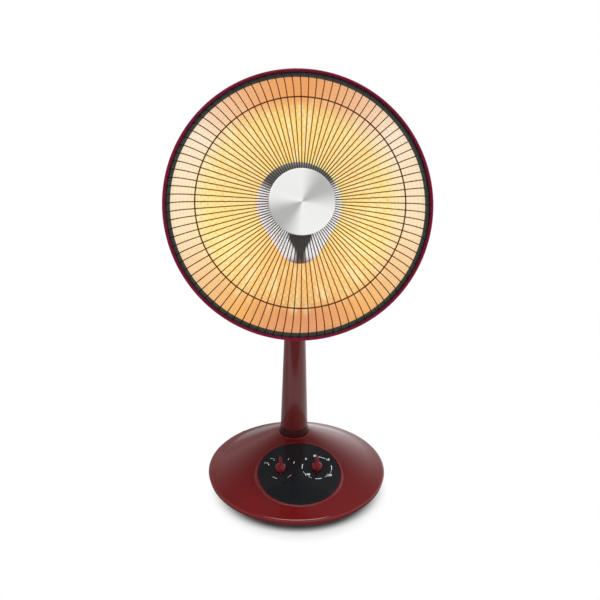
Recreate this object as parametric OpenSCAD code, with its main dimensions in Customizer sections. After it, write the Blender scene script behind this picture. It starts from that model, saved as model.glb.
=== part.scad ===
// Parabolic dish radiant heater on a round base, with an oscillating column and a tilting head.
// Millimetres. The origin is on the floor under the centre of the base, the dish looks along -Y.

/* [Base] */
// Largest radius of the base, at the top edge of its skirt
base_r = 137.4; // [132:0.2:150]
// Height of the skirt's top edge over the floor
rim_z = 13.4; // [12:0.1:20]
// Width of the rim band, from the skirt's top edge to the crease where the dome starts
crease_w = 12.2; // [10:0.1:15]
// Rise from the skirt's top edge to the crease
crease_rise = 2; // [1:0.5:5]
// Distance of the column axis behind the centre of the base
foot_y = 50; // [46:0.5:58]
// Radius of the dome's flat top, on which the column stands
foot_r = 25.2; // [24.6:0.1:27]
// Height of the dome's flat top over the floor
foot_z = 47.9; // [46:0.1:54]
// Wall thickness of the base cover
cover_wall = 2.6; // [2:0.1:3]
// Thickness of the steel bottom plate
plate_t = 1.5; // [1:0.1:2]
// Height of the rubber feet under the bottom plate
feet_h = 3.5; // [3:0.5:6]
// Radius of one rubber foot
feet_r = 8; // [6:0.5:9]
// Number of rubber feet, and of the pillars that take the cover's screws
feet_n = 5; // [4:1:6]
// Inner radius of the cast ballast ring
ballast_in_r = 80; // [76:1:95]
// Height of the cast ballast ring
ballast_h = 8; // [5:0.5:9]

/* [Control panel] */
// Radius of the black panel disc
panel_r = 62.9; // [60:0.1:66]
// Thickness of the panel disc
panel_t = 2; // [1.5:0.1:3]
// Distance of the panel's centre in front of the centre of the base
panel_front = 47.2; // [43:0.1:50]
// Height of the panel's centre over the floor
panel_z = 33.8; // [32.5:0.1:36]
// Slope of the panel towards the front
panel_slope = 13.3; // [10:0.1:15]
// Distance between the two knobs
knob_gap = 56; // [52:1:60]
// Distance of the knobs up the slope from the panel's centre
knob_up = 10; // [7:0.5:16]
// Length of a knob's finger blade
knob_len = 28; // [22:0.5:32]
// Diameter of a knob's round body
knob_w = 15.6; // [12:0.1:20]
// Height of a knob's finger blade over the panel
knob_h = 17; // [13:0.5:20]
// Thickness of a knob's finger blade
blade_t = 5; // [3:0.2:7]
// Radius of the knob spindles
spindle_r = 3; // [2.5:0.1:3.5]

/* [Column] */
// Radius of the swivel collar
collar_r = 22.5; // [21.5:0.1:23.2]
// Height of the swivel collar
collar_h = 14; // [12:0.5:24]
// Radius of the tapered column at its foot
column_low_r = 21.3; // [19:0.1:21.5]
// Radius of the tapered column at its top
column_high_r = 14.2; // [13.6:0.1:15.5]
// Height of the column's top end over the floor
column_top_z = 290; // [250:1:294]
// Wall thickness of the column and of the collar
column_wall = 2.2; // [1.8:0.1:2.4]
// Outer radius of the steel pipe inside the column
pipe_r = 10; // [9:0.1:10.4]
// Wall thickness of the steel pipe
pipe_wall = 1.5; // [1:0.1:2]

/* [Neck] */
// Height of the tilt pivot over the floor
pivot_z = 319; // [318:0.5:324]
// Radius of the head's knuckle round the pivot
knuckle_r = 10.5; // [9:0.5:11]
// Thickness of the head's knuckle
knuckle_t = 21; // [18:0.5:22]
// Thickness of one cheek of the neck fork
cheek_t = 4.5; // [3.5:0.5:5]
// Radius of the tilt bolt
bolt_r = 3; // [2.5:0.1:3.5]

/* [Head] */
// Radius of the whole head at its rim ring
head_r = 190; // [186:0.5:200]
// Height of the centre of the rim over the floor
head_z = 450.4; // [447:0.1:457]
// Upward tilt of the head at rest
head_tilt = 25; // [23:0.5:26]
// Visible width of the rim ring
rim_w = 4.4; // [4:0.1:5]
// Visible width of the dark shoulder inside the rim ring
shoulder_w = 6.4; // [5.5:0.1:8]
// Depth of the reflector behind the shoulder
reflector_depth = 80; // [70:1:84]
// Thickness of the reflector's sheet
reflector_t = 1; // [0.8:0.1:1.5]
// Gap between the reflector and the rear shell on the axis
shell_gap = 15; // [13:0.5:20]
// Wall thickness of the rear shell and of the terminal cover
shell_wall = 2.6; // [2:0.1:3.2]
// Number of vent slots round the rear shell
vent_n = 36; // [24:2:40]
// Width of a vent slot
vent_w = 5; // [3:0.5:6]
// Radius of the terminal cover on the back of the shell
terminal_r = 50; // [46:0.5:54]
// Depth of the terminal cover behind the shell
terminal_h = 20; // [16:0.5:26]

/* [Guard] */
// Number of radial guard wires
wire_n = 96; // [72:4:96]
// Angle of the guard's first wire from the top of the dish
wire_turn = -1.6; // [-3.75:0.05:3.75]
// Diameter of a radial guard wire
wire_d = 1.5; // [1.2:0.1:2]
// Radius of the arc that a guard wire follows from the hub to the knee
wire_bow_r = 850; // [700:10:1200]
// Radius at which a guard wire starts to turn down to the rim
knee_r = 150; // [146:1:156]
// Radius of the middle guard ring
mid_ring_r = 144.5; // [130:0.5:145]
// Wire diameter of the middle and the inner guard ring
ring_d = 2; // [1.6:0.1:2.6]
// Wire diameter of the outer guard hoop
hoop_d = 3.2; // [2.6:0.1:3.4]
// Height of the guard wires in front of the rim, at the hub
hub_rise = 45.2; // [40:0.2:52]
// Radius of the round hub plate
hub_r = 45.4; // [42:0.2:50]
// Radius at which the guard wires start, under the hub plate
wire_start_r = 38; // [34:0.5:39]

/* [Lamp and shield] */
// Radius of the ring of the quartz lamp, at the middle of its tube
lamp_r = 44; // [41:0.5:46]
// Outer radius of the quartz tube
tube_r = 5.5; // [4.5:0.1:6]
// Wall thickness of the quartz tube
tube_wall = 1; // [0.8:0.1:1.2]
// Distance of the lamp ring behind the rim
lamp_back = 14; // [12:0.5:20]
// Half of the angle that the lamp ring leaves open at the bottom
lamp_open = 28; // [25:1:32]
// Bend radius from the lamp ring into its two legs
leg_bend_r = 9; // [8:0.5:10]
// Radius of the shield's large end
shield_r = 59.5; // [57:0.5:62]
// Radius of the shield's small end
shield_tip_r = 32.6; // [28:0.2:36]
// Distance from the shield's large end to its small end
shield_len = 49.6; // [44:0.2:54]
// Radius of the shield's shallow crown
shield_crown_r = 220; // [200:5:280]
// Height of the shield's crown in front of the rim
shield_rise = 7; // [5:0.5:9]
// Thickness of the shield's sheet
shield_t = 0.8; // [0.6:0.1:1.2]

/* [Oscillation] */
// Distance of the lever's pin from the column axis
lever_r = 20; // [18:0.5:21]
// Half of the angle that the column sweeps
sweep = 35; // [30:1:38]
// Distance of the motor's shaft from the column axis, across the base
motor_x = 38; // [37.5:0.5:39]
// Radius of the motor can
motor_r = 25; // [22:0.5:25.5]
// Height of the motor can
motor_h = 13; // [11:0.5:19.5]

/* [Clearances] */
// Running clearance on the radius, between a shaft and its bearing
run = 0.05; // [0.02:0.01:0.1]
// Gap between pieces that pass each other
gap = 0.4; // [0.3:0.05:0.6]
// Gap between pieces that sit on each other
seat = 0.05; // [0.02:0.01:0.1]

/* [Hidden] */
$fn = 96;

red = "#6e1f22";
crimson = "#78122f";
black = "#232427";
steel = "#b9bcc0";
dark_wire = "#2b211c";
glow = "#ffc65a";
rubber = "#1a1a1a";
iron = "#4b4b4d";
cream = "#e9e4d6";
brass = "#c9a24a";

// Heights and radii of the base
crease_r = base_r - crease_w;
crease_z = rim_z + crease_rise;
plate_top = feet_h + plate_t;
skirt_low_r = base_r - 1.6;
skirt_in_r = skirt_low_r - cover_wall;
plate_r = skirt_in_r - gap;
band_r = base_r - 2.4;
pillar_ring_r = crease_r - 4.5;
pillar_r = 4.5;
screw_r = 1.6;
head_cap_r = 3.2;
head_cap_h = 2;
foot_plug_r = 3.9;
screw_len = 7;
cover_low_z = feet_h + 0.3;
skirt_top_z = rim_z - 2.4;
foot_lip_r = collar_r + gap;
foot_lip_w = 1.6;
foot_lip_h = 0.9;
dome_steps = 8;
dome_bulge = 0.08;
ballast_out_r = pillar_ring_r - pillar_r - 2;

// Panel and its boss
panel_y = -panel_front;
boss_w = 2.6;
boss_flare = 3.4;
boss_drop = 9;
boss_lip = 0.4;
ledge_w = 4;
panel_hole_r = spindle_r + gap;
knob_x = knob_gap / 2;
knob_body_h = 9;
knob_bore_h = 7;
knob_lift = 0.6;
switch_size = [28, 28, 15];
timer_size = [40, 34, 19];
nose_r = 6;
nose_h = 1.5;
spindle_len = 8;
knob_blade_r = 45;
knob_crown_r = 11;

// Column stack
collar_low_z = foot_z + gap;
collar_top_z = collar_low_z + collar_h;
column_low_z = collar_top_z + seat;
bush_r = 14.6;
bush_flange_r = 18.4;
bush_flange_h = 2;
bearing_r = 14.4;
bearing_h = 12;
bearing_floor = 3;
pipe_low_z = plate_top + bearing_floor + gap;
pipe_top_z = column_top_z + 10;
spigot_h = 8;

// Neck fork and tilt pivot
fork_top_r = knuckle_t / 2 + gap + cheek_t + 2;
fork_low_z = column_top_z + seat;
fork_top_z = pivot_z - knuckle_r - 2.5;
cheek_r = knuckle_r - 0.8;
cheek_in_x = knuckle_t / 2 + gap;
cheek_out_x = cheek_in_x + cheek_t;
washer_t = 1.2;
washer_r = 6.5;
bolt_head_r = 5.5;
bolt_head_h = 4;
bolt_nut_h = 5;
pivot_up = foot_y * sin(head_tilt) + (pivot_z - head_z) * cos(head_tilt);
pivot_back = (pivot_z - head_z) * sin(head_tilt) - foot_y * cos(head_tilt);

// Head profile, measured along the dish axis from the front of the rim
rim_round = rim_w / 2;
rim_skin = 1.6;
rim_front_z = 1.6;
hoop_r = hoop_d / 2;
hoop_ring_r = head_r - rim_skin - hoop_r - 0.6;
shoulder_z = -4.4;
shoulder_t = 2;
shoulder_in_r = head_r - rim_w - shoulder_w;
shoulder_out_r = head_r - rim_skin - 0.4;
hoop_z = shoulder_z + seat + hoop_r;
shell_r = shoulder_out_r - 4;
shell_rim_z = -12;
flange_z = shoulder_z - shoulder_t - seat;
flange_w = 2;
reflector_r = shoulder_in_r - 0.5;
vertex_z = flange_z - reflector_t - reflector_depth;
shell_back_z = vertex_z - reflector_t - shell_gap - shell_wall;
shell_depth = shell_rim_z - shell_back_z;
shell_ball_r = (shell_r * shell_r + shell_depth * shell_depth) / (2 * shell_depth);
shell_ball_z = shell_back_z + shell_ball_r;
shell_in_ball_r = shell_ball_r - shell_wall;
lead_hole_r = 4;
vent_mid_r = 148;
vent_len = 34;
spacer_ring_r = 112;
spacer_r = 4;
spacer_n = 3;
reflector_steps = 20;
cover_round = 5;
cover_screw_at = terminal_r - 9;
louvre_step = 8;
louvre_len = 44;
louvre_w = 3;
cutout_at = 60;
cutout_r = 7;
cutout_h = 7;
cutout_flange_t = 2;

// Guard wire: a long bow from the hub, then a tight bend down to the hoop
wire_r = wire_d / 2;
bow_z = hub_rise - sqrt(wire_bow_r * wire_bow_r - wire_start_r * wire_start_r);
start_a = asin(wire_start_r / wire_bow_r);
knee_a = asin(knee_r / wire_bow_r);
knee_z = bow_z + wire_bow_r * cos(knee_a);
wire_end_r = hoop_ring_r - hoop_r - wire_r - seat;
end_drop = knee_z - hoop_z;
end_run = wire_end_r - knee_r;
end_a = 2 * atan(end_drop / end_run) - knee_a;
bend_r = end_run / (sin(end_a) - sin(knee_a));
bend_c = [knee_r - bend_r * sin(knee_a), knee_z - bend_r * cos(knee_a)];
joint_a = 0.4;
joint_step = 0.02;
ring_r = ring_d / 2;
inner_ring_r = wire_start_r + 2.5;
badge_t = 2;
badge_lip_w = 1.5;
badge_lift = 0.1;
badge_round = 0.7;
backplate_t = 1.2;

// Lamp, its legs and the shield
leg_a = 270 + lamp_open;
leg_x = lamp_r * cos(leg_a) - leg_bend_r * cos(lamp_open);
leg_y = lamp_r * sin(leg_a) - leg_bend_r * sin(lamp_open);
leg_top_z = -lamp_back - leg_bend_r;
cap_r = 8;
cap_front_z = vertex_z + 24;
cap_back_z = vertex_z - reflector_t - 3;
leg_low_z = cap_front_z - 8;
bracket_t = 1.5;
clip_post_r = 1.5;
post_r = 3.5;
stub_r = 2;
stud_nut_r = 4.2;
stud_nut_h = 3;
crown_z = shield_rise - shield_crown_r;
tangent_a = asin((shield_r - shield_tip_r) / shield_len);

// Oscillating drive
crank_r = lever_r * sin(sweep);
lever_pin_y = foot_y - lever_r;
motor_low_z = plate_top + seat;
motor_top_z = motor_low_z + motor_h;
crank_low_z = motor_top_z + gap;
crank_t = 3;
shaft_r = 3;
crank_pin_h = 2.2;
link_low_z = crank_low_z + crank_t + crank_pin_h + gap;
link_t = 2;
lever_low_z = link_low_z + link_t + gap;
lever_t = 2.5;
lever_hub_r = pipe_r + 4;
pin_r = 2;
eye_r = 5;
crank_a = -acos(-crank_r / (2 * motor_x));
clip_low_z = lever_low_z + lever_t + gap;
clip_t = 1.2;
bush_low_z = clip_low_z + clip_t + gap;

// Grommet for the mains lead, at the rear of the skirt
gland_a = 125;
gland_z = 8.5;
gland_r = 3.8;
gland_bore_r = 2.8;
gland_flange_r = 4.6;
gland_flange_t = 1.5;
gland_len = base_r - plate_r - gap;

// Terminal block of the mains lead
block_pos = [-36, 2];
block_size = [24, 14, 12];
block_hole_r = 2.2;

// Plunger of the tip-over switch
plunger_pos = [-48, 40, 0];
plunger_r = 3.5;
plunger_travel = 5;
plunger_low_z = 0.3;
tip_box = [20, 14, 18];

module at_head() {
    translate([0, 0, head_z]) rotate([90 - head_tilt, 0, 0]) children();
}

module at_panel() {
    translate([0, panel_y, panel_z]) rotate([panel_slope, 0, 0]) children();
}

module at_column(z = 0) {
    translate([0, foot_y, z]) children();
}

module at_pivot() {
    translate([0, foot_y, pivot_z]) children();
}

module ring_of(n, r, start = 0) {
    for (i = [0:n - 1]) rotate([0, 0, start + i * 360 / n]) translate([r, 0, 0]) children();
}

module tube(r_out, r_in, h) {
    difference() {
        cylinder(r = r_out, h = h);
        translate([0, 0, -1]) cylinder(r = r_in, h = h + 2);
    }
}

// Arc of round wire in the XZ plane, between two angles measured from +X towards +Z
module wire_arc(r, a0, a1, wire) {
    rotate([90, 0, 0]) rotate([0, 0, a0]) rotate_extrude(angle = a1 - a0, $fn = 720)
        translate([r, 0]) circle(r = wire, $fn = 16);
}

// Screw along +Z: its head lies below z = 0 and its shank above
module screw(shank_r, shank_h, cap_r, cap_h) {
    cylinder(r = shank_r, h = shank_h);
    translate([0, 0, -cap_h]) cylinder(r = cap_r, h = cap_h);
}

// Radius of the skirt's sloping wall at a height over the floor
function skirt_r_at(z) =
    skirt_low_r + (base_r - skirt_low_r) * (z - cover_low_z) / (skirt_top_z - cover_low_z);

// Height of the oblique dome at a share t of the way from the crease to its flat top
function dome_z(t) = crease_z + (foot_z - crease_z) * (t + dome_bulge * t * (1 - t));
function dome_r(t) = crease_r + (foot_r - crease_r) * t;

// Oblique dome: thin discs that shrink and shift back as they rise, joined by one skin
module dome(inset, drop) {
    hull() for (i = [0:dome_steps]) let (t = i / dome_steps)
        translate([0, foot_y * t, dome_z(t) - drop - 0.02])
            cylinder(r = dome_r(t) - inset, h = 0.02, $fn = 96);
}

module base_skirt() {
    rotate_extrude() polygon([[0, cover_low_z], [skirt_low_r, cover_low_z], [base_r, skirt_top_z],
        [base_r - 0.5, rim_z - 0.8], [band_r, rim_z], [crease_r, crease_z], [0, crease_z]]);
}

module skirt_hollow() {
    rotate_extrude() polygon([[0, 0], [skirt_in_r, 0], [skirt_in_r, feet_h],
        [base_r - cover_wall, skirt_top_z - 0.6], [band_r - cover_wall, rim_z - cover_wall],
        [crease_r - 2, crease_z - cover_wall], [0, crease_z - cover_wall]]);
}

module panel_boss(grow) {
    top_r = panel_r + boss_w + grow;
    at_panel() translate([0, 0, -boss_drop])
        cylinder(r1 = top_r + boss_flare, r2 = top_r, h = boss_drop + boss_lip);
}

module pillars(r, top) {
    ring_of(feet_n, pillar_ring_r, 270 + 180 / feet_n) translate([0, 0, plate_top + seat])
        cylinder(r = r, h = top - plate_top);
}

module base_cover() {
    color(red) difference() {
        union() {
            base_skirt();
            dome(0, 0);
            panel_boss(0);
            at_column(foot_z - 0.5) tube(foot_lip_r + foot_lip_w, foot_lip_r, foot_lip_h + 0.5);
        }
        difference() {
            union() {
                skirt_hollow();
                dome(cover_wall, cover_wall);
                translate([0, 0, -cover_wall]) panel_boss(-cover_wall);
            }
            pillars(pillar_r, foot_z);
        }
        translate([0, 0, cover_low_z - foot_z]) cylinder(r = 1.1 * base_r, h = foot_z);
        pillars(screw_r - 0.2, plate_top + screw_len - plate_t);
        at_panel() translate([0, 0, -panel_t - seat]) cylinder(r = panel_r + seat, h = 20);
        at_panel() translate([0, 0, -20]) cylinder(r = panel_r - ledge_w, h = 30);
        at_column() cylinder(r = bush_r + seat, h = foot_z + 10);
        at_gland() cylinder(r = gland_r + seat, h = 20, center = true);
    }
}

module base_plate() {
    color(black) difference() {
        translate([0, 0, feet_h]) cylinder(r = plate_r, h = plate_t);
        ring_of(feet_n, pillar_ring_r, 270) cylinder(r = foot_plug_r + 2 * seat, h = 20);
        ring_of(feet_n, pillar_ring_r, 270 + 180 / feet_n) cylinder(r = screw_r + 0.2, h = 20);
        translate(plunger_pos) cylinder(r = plunger_r + gap, h = 20);
    }
}

module ballast_ring() {
    color(iron) translate([0, 0, plate_top + seat]) tube(ballast_out_r, ballast_in_r, ballast_h);
}

module rubber_feet() {
    color(rubber) ring_of(feet_n, pillar_ring_r, 270) {
        cylinder(r1 = feet_r - 0.8, r2 = feet_r, h = feet_h - seat);
        cylinder(r = foot_plug_r, h = plate_top + 1);
    }
}

module base_screws() {
    color(steel) ring_of(feet_n, pillar_ring_r, 270 + 180 / feet_n) translate([0, 0, feet_h - seat])
        screw(screw_r - 0.25, screw_len, head_cap_r, head_cap_h);
}

module control_panel() {
    color(black) at_panel() difference() {
        translate([0, 0, -panel_t]) cylinder(r = panel_r, h = panel_t);
        for (x = [-knob_x, knob_x]) translate([x, knob_up, -10]) cylinder(r = panel_hole_r, h = 20);
    }
}

module knob(x) {
    at_panel() translate([x, knob_up, knob_lift]) difference() {
        union() {
            intersection() {
                cylinder(r = knob_w / 2, h = knob_body_h);
                translate([0, 0, knob_body_h - knob_crown_r]) sphere(r = knob_crown_r);
            }
            intersection() {
                knob_lens(blade_t / 2, knob_len / 2, knob_h - knob_lift);
                translate([0, 0, knob_h - knob_lift - knob_blade_r]) rotate([0, 90, 0])
                    cylinder(r = knob_blade_r, h = knob_w, center = true);
            }
        }
        translate([0, 0, -1]) cylinder(r = spindle_r + seat, h = knob_bore_h + 1);
    }
}

// Plan of the finger blade, pointed at both ends between two arcs
module knob_lens(half_w, half_l, h) {
    big = (half_w * half_w + half_l * half_l) / (2 * half_w);
    intersection() {
        translate([big - half_w, 0, 0]) cylinder(r = big, h = h);
        translate([half_w - big, 0, 0]) cylinder(r = big, h = h);
    }
}

module spindle(x) {
    at_panel() translate([x, knob_up, -panel_t - spindle_len])
        cylinder(r = spindle_r, h = panel_t + spindle_len + knob_lift + knob_bore_h - gap);
}

module power_knob() {
    color(red) knob(-knob_x);
}

module timer_knob() {
    color(red) knob(knob_x);
}

module power_spindle() {
    color(steel) spindle(-knob_x);
}

module timer_spindle() {
    color(steel) spindle(knob_x);
}

// Switch body under the panel, with a bush for its spindle
module under_panel(x, size) {
    at_panel() translate([x, knob_up, -panel_t - seat]) difference() {
        union() {
            translate([-size[0] / 2, -size[1] / 2, -size[2] - nose_h]) cube(size);
            translate([0, 0, -nose_h - 0.5]) cylinder(r = nose_r, h = nose_h + 0.5);
        }
        translate([0, 0, -spindle_len - gap]) cylinder(r = spindle_r + run, h = 20);
    }
}

module power_switch() {
    color(cream) under_panel(-knob_x, switch_size);
}

module timer_body() {
    color(steel) under_panel(knob_x, timer_size);
}

module tip_switch() {
    color(black) translate([0, 0, plate_top + seat]) translate(plunger_pos) difference() {
        translate([-tip_box[0] / 2, -tip_box[1] / 2, 0]) cube(tip_box);
        translate([0, 0, -1]) cylinder(r = plunger_r + run, h = tip_box[2] - 1);
    }
}

module tip_plunger() {
    color(cream) translate([0, 0, plunger_low_z]) translate(plunger_pos)
        cylinder(r = plunger_r, h = plate_top + tip_box[2] - plunger_travel - 2 - plunger_low_z);
}

module at_gland() {
    rotate([0, 0, gland_a]) translate([base_r, 0, gland_z]) rotate([0, 90, 0]) children();
}

// Grommet for the mains lead: its flange lies on the sloping skirt
module cord_gland() {
    color(rubber) difference() {
        union() {
            difference() {
                at_gland() translate([0, 0, -gland_flange_t])
                    cylinder(r = gland_flange_r, h = 2 * gland_flange_t);
                cylinder(r1 = skirt_r_at(0) + seat, r2 = skirt_r_at(2 * rim_z) + seat, h = 2 * rim_z);
            }
            at_gland() translate([0, 0, -gland_len]) cylinder(r = gland_r, h = gland_len + 0.5);
        }
        at_gland() cylinder(r = gland_bore_r, h = 4 * gland_len, center = true);
    }
}

module terminal_block() {
    color(cream) translate([block_pos[0], block_pos[1], plate_top + seat]) difference() {
        cube(block_size);
        for (i = [1, 3, 5]) translate([i * block_size[0] / 6, block_size[1] / 2, block_size[2] / 2])
            cylinder(r = block_hole_r, h = block_size[2]);
    }
}

module upper_bush() {
    color(cream) at_column() difference() {
        union() {
            translate([0, 0, bush_low_z]) cylinder(r = bush_r, h = foot_z + seat - bush_low_z + 0.5);
            translate([0, 0, foot_z + seat]) cylinder(r = bush_flange_r, h = bush_flange_h);
        }
        cylinder(r = pipe_r + run, h = foot_z + 10);
    }
}

module lower_bearing() {
    color(cream) at_column(plate_top + seat) difference() {
        cylinder(r = bearing_r, h = bearing_h);
        translate([0, 0, bearing_floor]) cylinder(r = pipe_r + run, h = bearing_h);
    }
}

module osc_motor() {
    color(steel) translate([motor_x, lever_pin_y, 0]) {
        translate([0, 0, motor_low_z]) cylinder(r = motor_r, h = motor_h);
        translate([0, 0, motor_low_z]) cylinder(r = shaft_r, h = crank_low_z + crank_t - motor_low_z);
    }
}

module crank() {
    color(brass) translate([motor_x, lever_pin_y, crank_low_z]) rotate([0, 0, crank_a]) difference() {
        union() {
            cylinder(r = eye_r + 1.5, h = crank_t);
            translate([0, -eye_r + 1, 0]) cube([crank_r, 2 * eye_r - 2, crank_t]);
            translate([crank_r, 0, 0]) cylinder(r = eye_r - 1, h = crank_t);
            translate([crank_r, 0, 0]) cylinder(r = pin_r, h = crank_t + crank_pin_h);
        }
        translate([0, 0, -1]) cylinder(r = shaft_r + run, h = 10);
    }
}

module link_rod() {
    start = [0, lever_pin_y];
    end = [motor_x + crank_r * cos(crank_a), lever_pin_y + crank_r * sin(crank_a)];
    span = norm(end - start);
    color(steel) translate([start[0], start[1], link_low_z])
        rotate([0, 0, atan2(end[1] - start[1], end[0] - start[0])]) difference() {
            union() {
                cylinder(r = eye_r, h = link_t);
                translate([span, 0, 0]) cylinder(r = eye_r, h = link_t);
                translate([0, -eye_r * 0.6, 0]) cube([span, eye_r * 1.2, link_t]);
            }
            translate([0, 0, -1]) cylinder(r = pin_r + run, h = 10);
            translate([span, 0, -1]) cylinder(r = pin_r + run, h = 10);
        }
}

module swing_lever() {
    color(steel) at_column(lever_low_z) difference() {
        union() {
            cylinder(r = lever_hub_r, h = lever_t);
            translate([-eye_r, -lever_r, 0]) cube([2 * eye_r, lever_r, lever_t]);
            translate([0, -lever_r, 0]) cylinder(r = eye_r, h = lever_t);
        }
        translate([0, 0, -1]) cylinder(r = pipe_r + seat, h = 10);
        translate([0, -lever_r, -1]) cylinder(r = pin_r + seat, h = 10);
    }
}

module lever_pin() {
    color(brass) at_column() translate([0, -lever_r, 0]) {
        translate([0, 0, link_low_z]) cylinder(r = pin_r, h = lever_low_z + lever_t + seat - link_low_z);
        translate([0, 0, lever_low_z + lever_t + seat]) cylinder(r = pin_r + 1.4, h = 1);
    }
}

module retaining_ring() {
    color(steel) at_column(clip_low_z) tube(pipe_r + 3, pipe_r + seat, clip_t);
}

module column_collar() {
    color(red) at_column() difference() {
        union() {
            translate([0, 0, collar_low_z]) cylinder(r = collar_r, h = collar_h);
            translate([0, 0, collar_top_z]) cylinder(r = column_low_r - column_wall - gap, h = spigot_h);
        }
        translate([0, 0, collar_low_z - 1])
            cylinder(r = bush_flange_r + gap, h = bush_flange_h + gap + 1);
        cylinder(r = pipe_r + seat, h = collar_top_z + spigot_h + 1);
    }
}

module column_shell() {
    h = column_top_z - column_low_z;
    color(red) at_column(column_low_z) difference() {
        cylinder(r1 = column_low_r, r2 = column_high_r, h = h);
        translate([0, 0, -0.01])
            cylinder(r1 = column_low_r - column_wall, r2 = column_high_r - column_wall, h = h + 0.02);
    }
}

module stand_pipe() {
    color(steel) at_column(pipe_low_z) tube(pipe_r, pipe_r - pipe_wall, pipe_top_z - pipe_low_z);
}

module neck_fork() {
    color(black) at_column() difference() {
        union() {
            translate([0, 0, fork_low_z])
                cylinder(r1 = column_high_r, r2 = fork_top_r, h = fork_top_z - fork_low_z);
            translate([0, 0, fork_low_z - spigot_h])
                cylinder(r = column_high_r - column_wall - 0.15, h = spigot_h + 1);
            for (x = [-cheek_out_x, cheek_in_x]) translate([x, 0, pivot_z]) {
                rotate([0, 90, 0]) cylinder(r = cheek_r, h = cheek_t);
                translate([0, -cheek_r, fork_top_z - 1 - pivot_z])
                    cube([cheek_t, 2 * cheek_r, pivot_z - fork_top_z + 1]);
            }
        }
        translate([0, 0, fork_low_z - spigot_h - 1])
            cylinder(r = pipe_r + seat, h = pipe_top_z - fork_low_z + spigot_h + 1 + seat);
        translate([-50, 0, pivot_z]) rotate([0, 90, 0]) cylinder(r = bolt_r + seat, h = 100);
    }
}

module tilt_bolt() {
    under = cheek_out_x + seat;
    color(steel) at_pivot() rotate([0, 90, 0]) {
        translate([0, 0, -under]) cylinder(r = bolt_r, h = 2 * under + washer_t + bolt_nut_h + 1.5);
        translate([0, 0, -under - washer_t]) cylinder(r = washer_r, h = washer_t);
        translate([0, 0, -under - washer_t - bolt_head_h]) cylinder(r = bolt_head_r, h = bolt_head_h);
    }
}

module tilt_nut() {
    color(steel) at_pivot() rotate([0, 90, 0]) difference() {
        union() {
            translate([0, 0, cheek_out_x + seat]) cylinder(r = washer_r, h = washer_t);
            translate([0, 0, cheek_out_x + seat + washer_t]) cylinder(r = bolt_head_r, h = bolt_nut_h);
        }
        cylinder(r = bolt_r + seat, h = 100);
    }
}

// Direction from the centre of the shell's ball to the tilt pivot, as an angle from -Z
knuckle_a = atan2(-pivot_up, shell_ball_z - pivot_back);
pivot_reach = norm([pivot_up, shell_ball_z - pivot_back]);
knuckle_foot_t = 4;
knuckle_foot_w = 46;
knuckle_foot_l = 40;
knuckle_screw_a = asin(22 / shell_ball_r);

module at_knuckle() {
    at_head() translate([0, 0, shell_ball_z]) rotate([-knuckle_a, 0, 0]) children();
}

module tilt_knuckle() {
    color(black) at_knuckle() difference() {
        union() {
            intersection() {
                difference() {
                    sphere(r = shell_ball_r + seat + knuckle_foot_t);
                    sphere(r = shell_ball_r + seat);
                }
                translate([-knuckle_foot_w / 2, -knuckle_foot_l / 2, -pivot_reach])
                    cube([knuckle_foot_w, knuckle_foot_l, 40]);
            }
            difference() {
                translate([-knuckle_t / 2, -knuckle_r, -pivot_reach]) cube([knuckle_t, 2 * knuckle_r, 40]);
                sphere(r = shell_ball_r + seat + 1);
            }
            translate([0, 0, -pivot_reach]) rotate([0, 90, 0])
                cylinder(r = knuckle_r, h = knuckle_t, center = true);
        }
        translate([0, 0, -pivot_reach]) rotate([0, 90, 0])
            cylinder(r = bolt_r + run, h = knuckle_t + 10, center = true);
        at_knuckle_screws() cylinder(r = screw_r, h = 30, center = true);
    }
}

// The four screws of the knuckle's foot point at the centre of the shell's ball
module at_knuckle_screws() {
    for (a = [45:90:315]) rotate([0, 0, a]) rotate([0, knuckle_screw_a, 0]) translate([0, 0, -shell_ball_r])
        children();
}

module knuckle_screws() {
    color(steel) at_knuckle() at_knuckle_screws() translate([0, 0, -knuckle_foot_t - 2 * seat])
        screw(screw_r - 0.1, knuckle_foot_t + shell_wall + 3, head_cap_r, head_cap_h);
}

// Shell of the rear bowl in section: an arc with the stepped rim that carries the guard
module shell_section() {
    intersection() {
        translate([0, shell_ball_z]) difference() {
            circle(r = shell_ball_r, $fn = 360);
            circle(r = shell_in_ball_r, $fn = 360);
        }
        translate([0, shell_back_z - 1]) square([shell_r + 5, shell_rim_z - shell_back_z + 1]);
    }
    translate([shell_r - shell_wall - 0.6, shell_rim_z - 0.5])
        square([shell_wall + 0.6, shoulder_z - shell_rim_z + 0.5]);
    translate([shoulder_in_r, shoulder_z - shoulder_t])
        square([shoulder_out_r - shoulder_in_r, shoulder_t]);
}

module vent_slot(l, w) {
    translate([-l / 2, -w / 2, -60]) cube([l, w, 120]);
    for (x = [-l / 2, l / 2]) translate([x, 0, -60]) cylinder(r = w / 2, h = 120, $fn = 24);
}

module rear_shell() {
    color(black) at_head() difference() {
        rotate_extrude($fn = 180) shell_section();
        ring_of(vent_n, vent_mid_r, 90 / vent_n) translate([0, 0, shell_back_z + 60])
            vent_slot(vent_len, vent_w);
        for (x = [-1, 1]) translate([x * leg_x, leg_y * 0.8, shell_back_z])
            cylinder(r = lead_hole_r, h = 30, center = true);
        at_shell_screws() cylinder(r = screw_r, h = 60, center = true);
        translate([0, 0, shell_ball_z]) rotate([-knuckle_a, 0, 0]) at_knuckle_screws()
            cylinder(r = screw_r, h = 30, center = true);
    }
}

module at_shell_screws() {
    ring_of(3, cover_screw_at, 90) translate([0, 0, shell_back_z]) children();
}

// Depth of the shell's back face at a radius
function shell_back_at(r) = shell_ball_z - sqrt(shell_ball_r * shell_ball_r - r * r);

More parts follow.
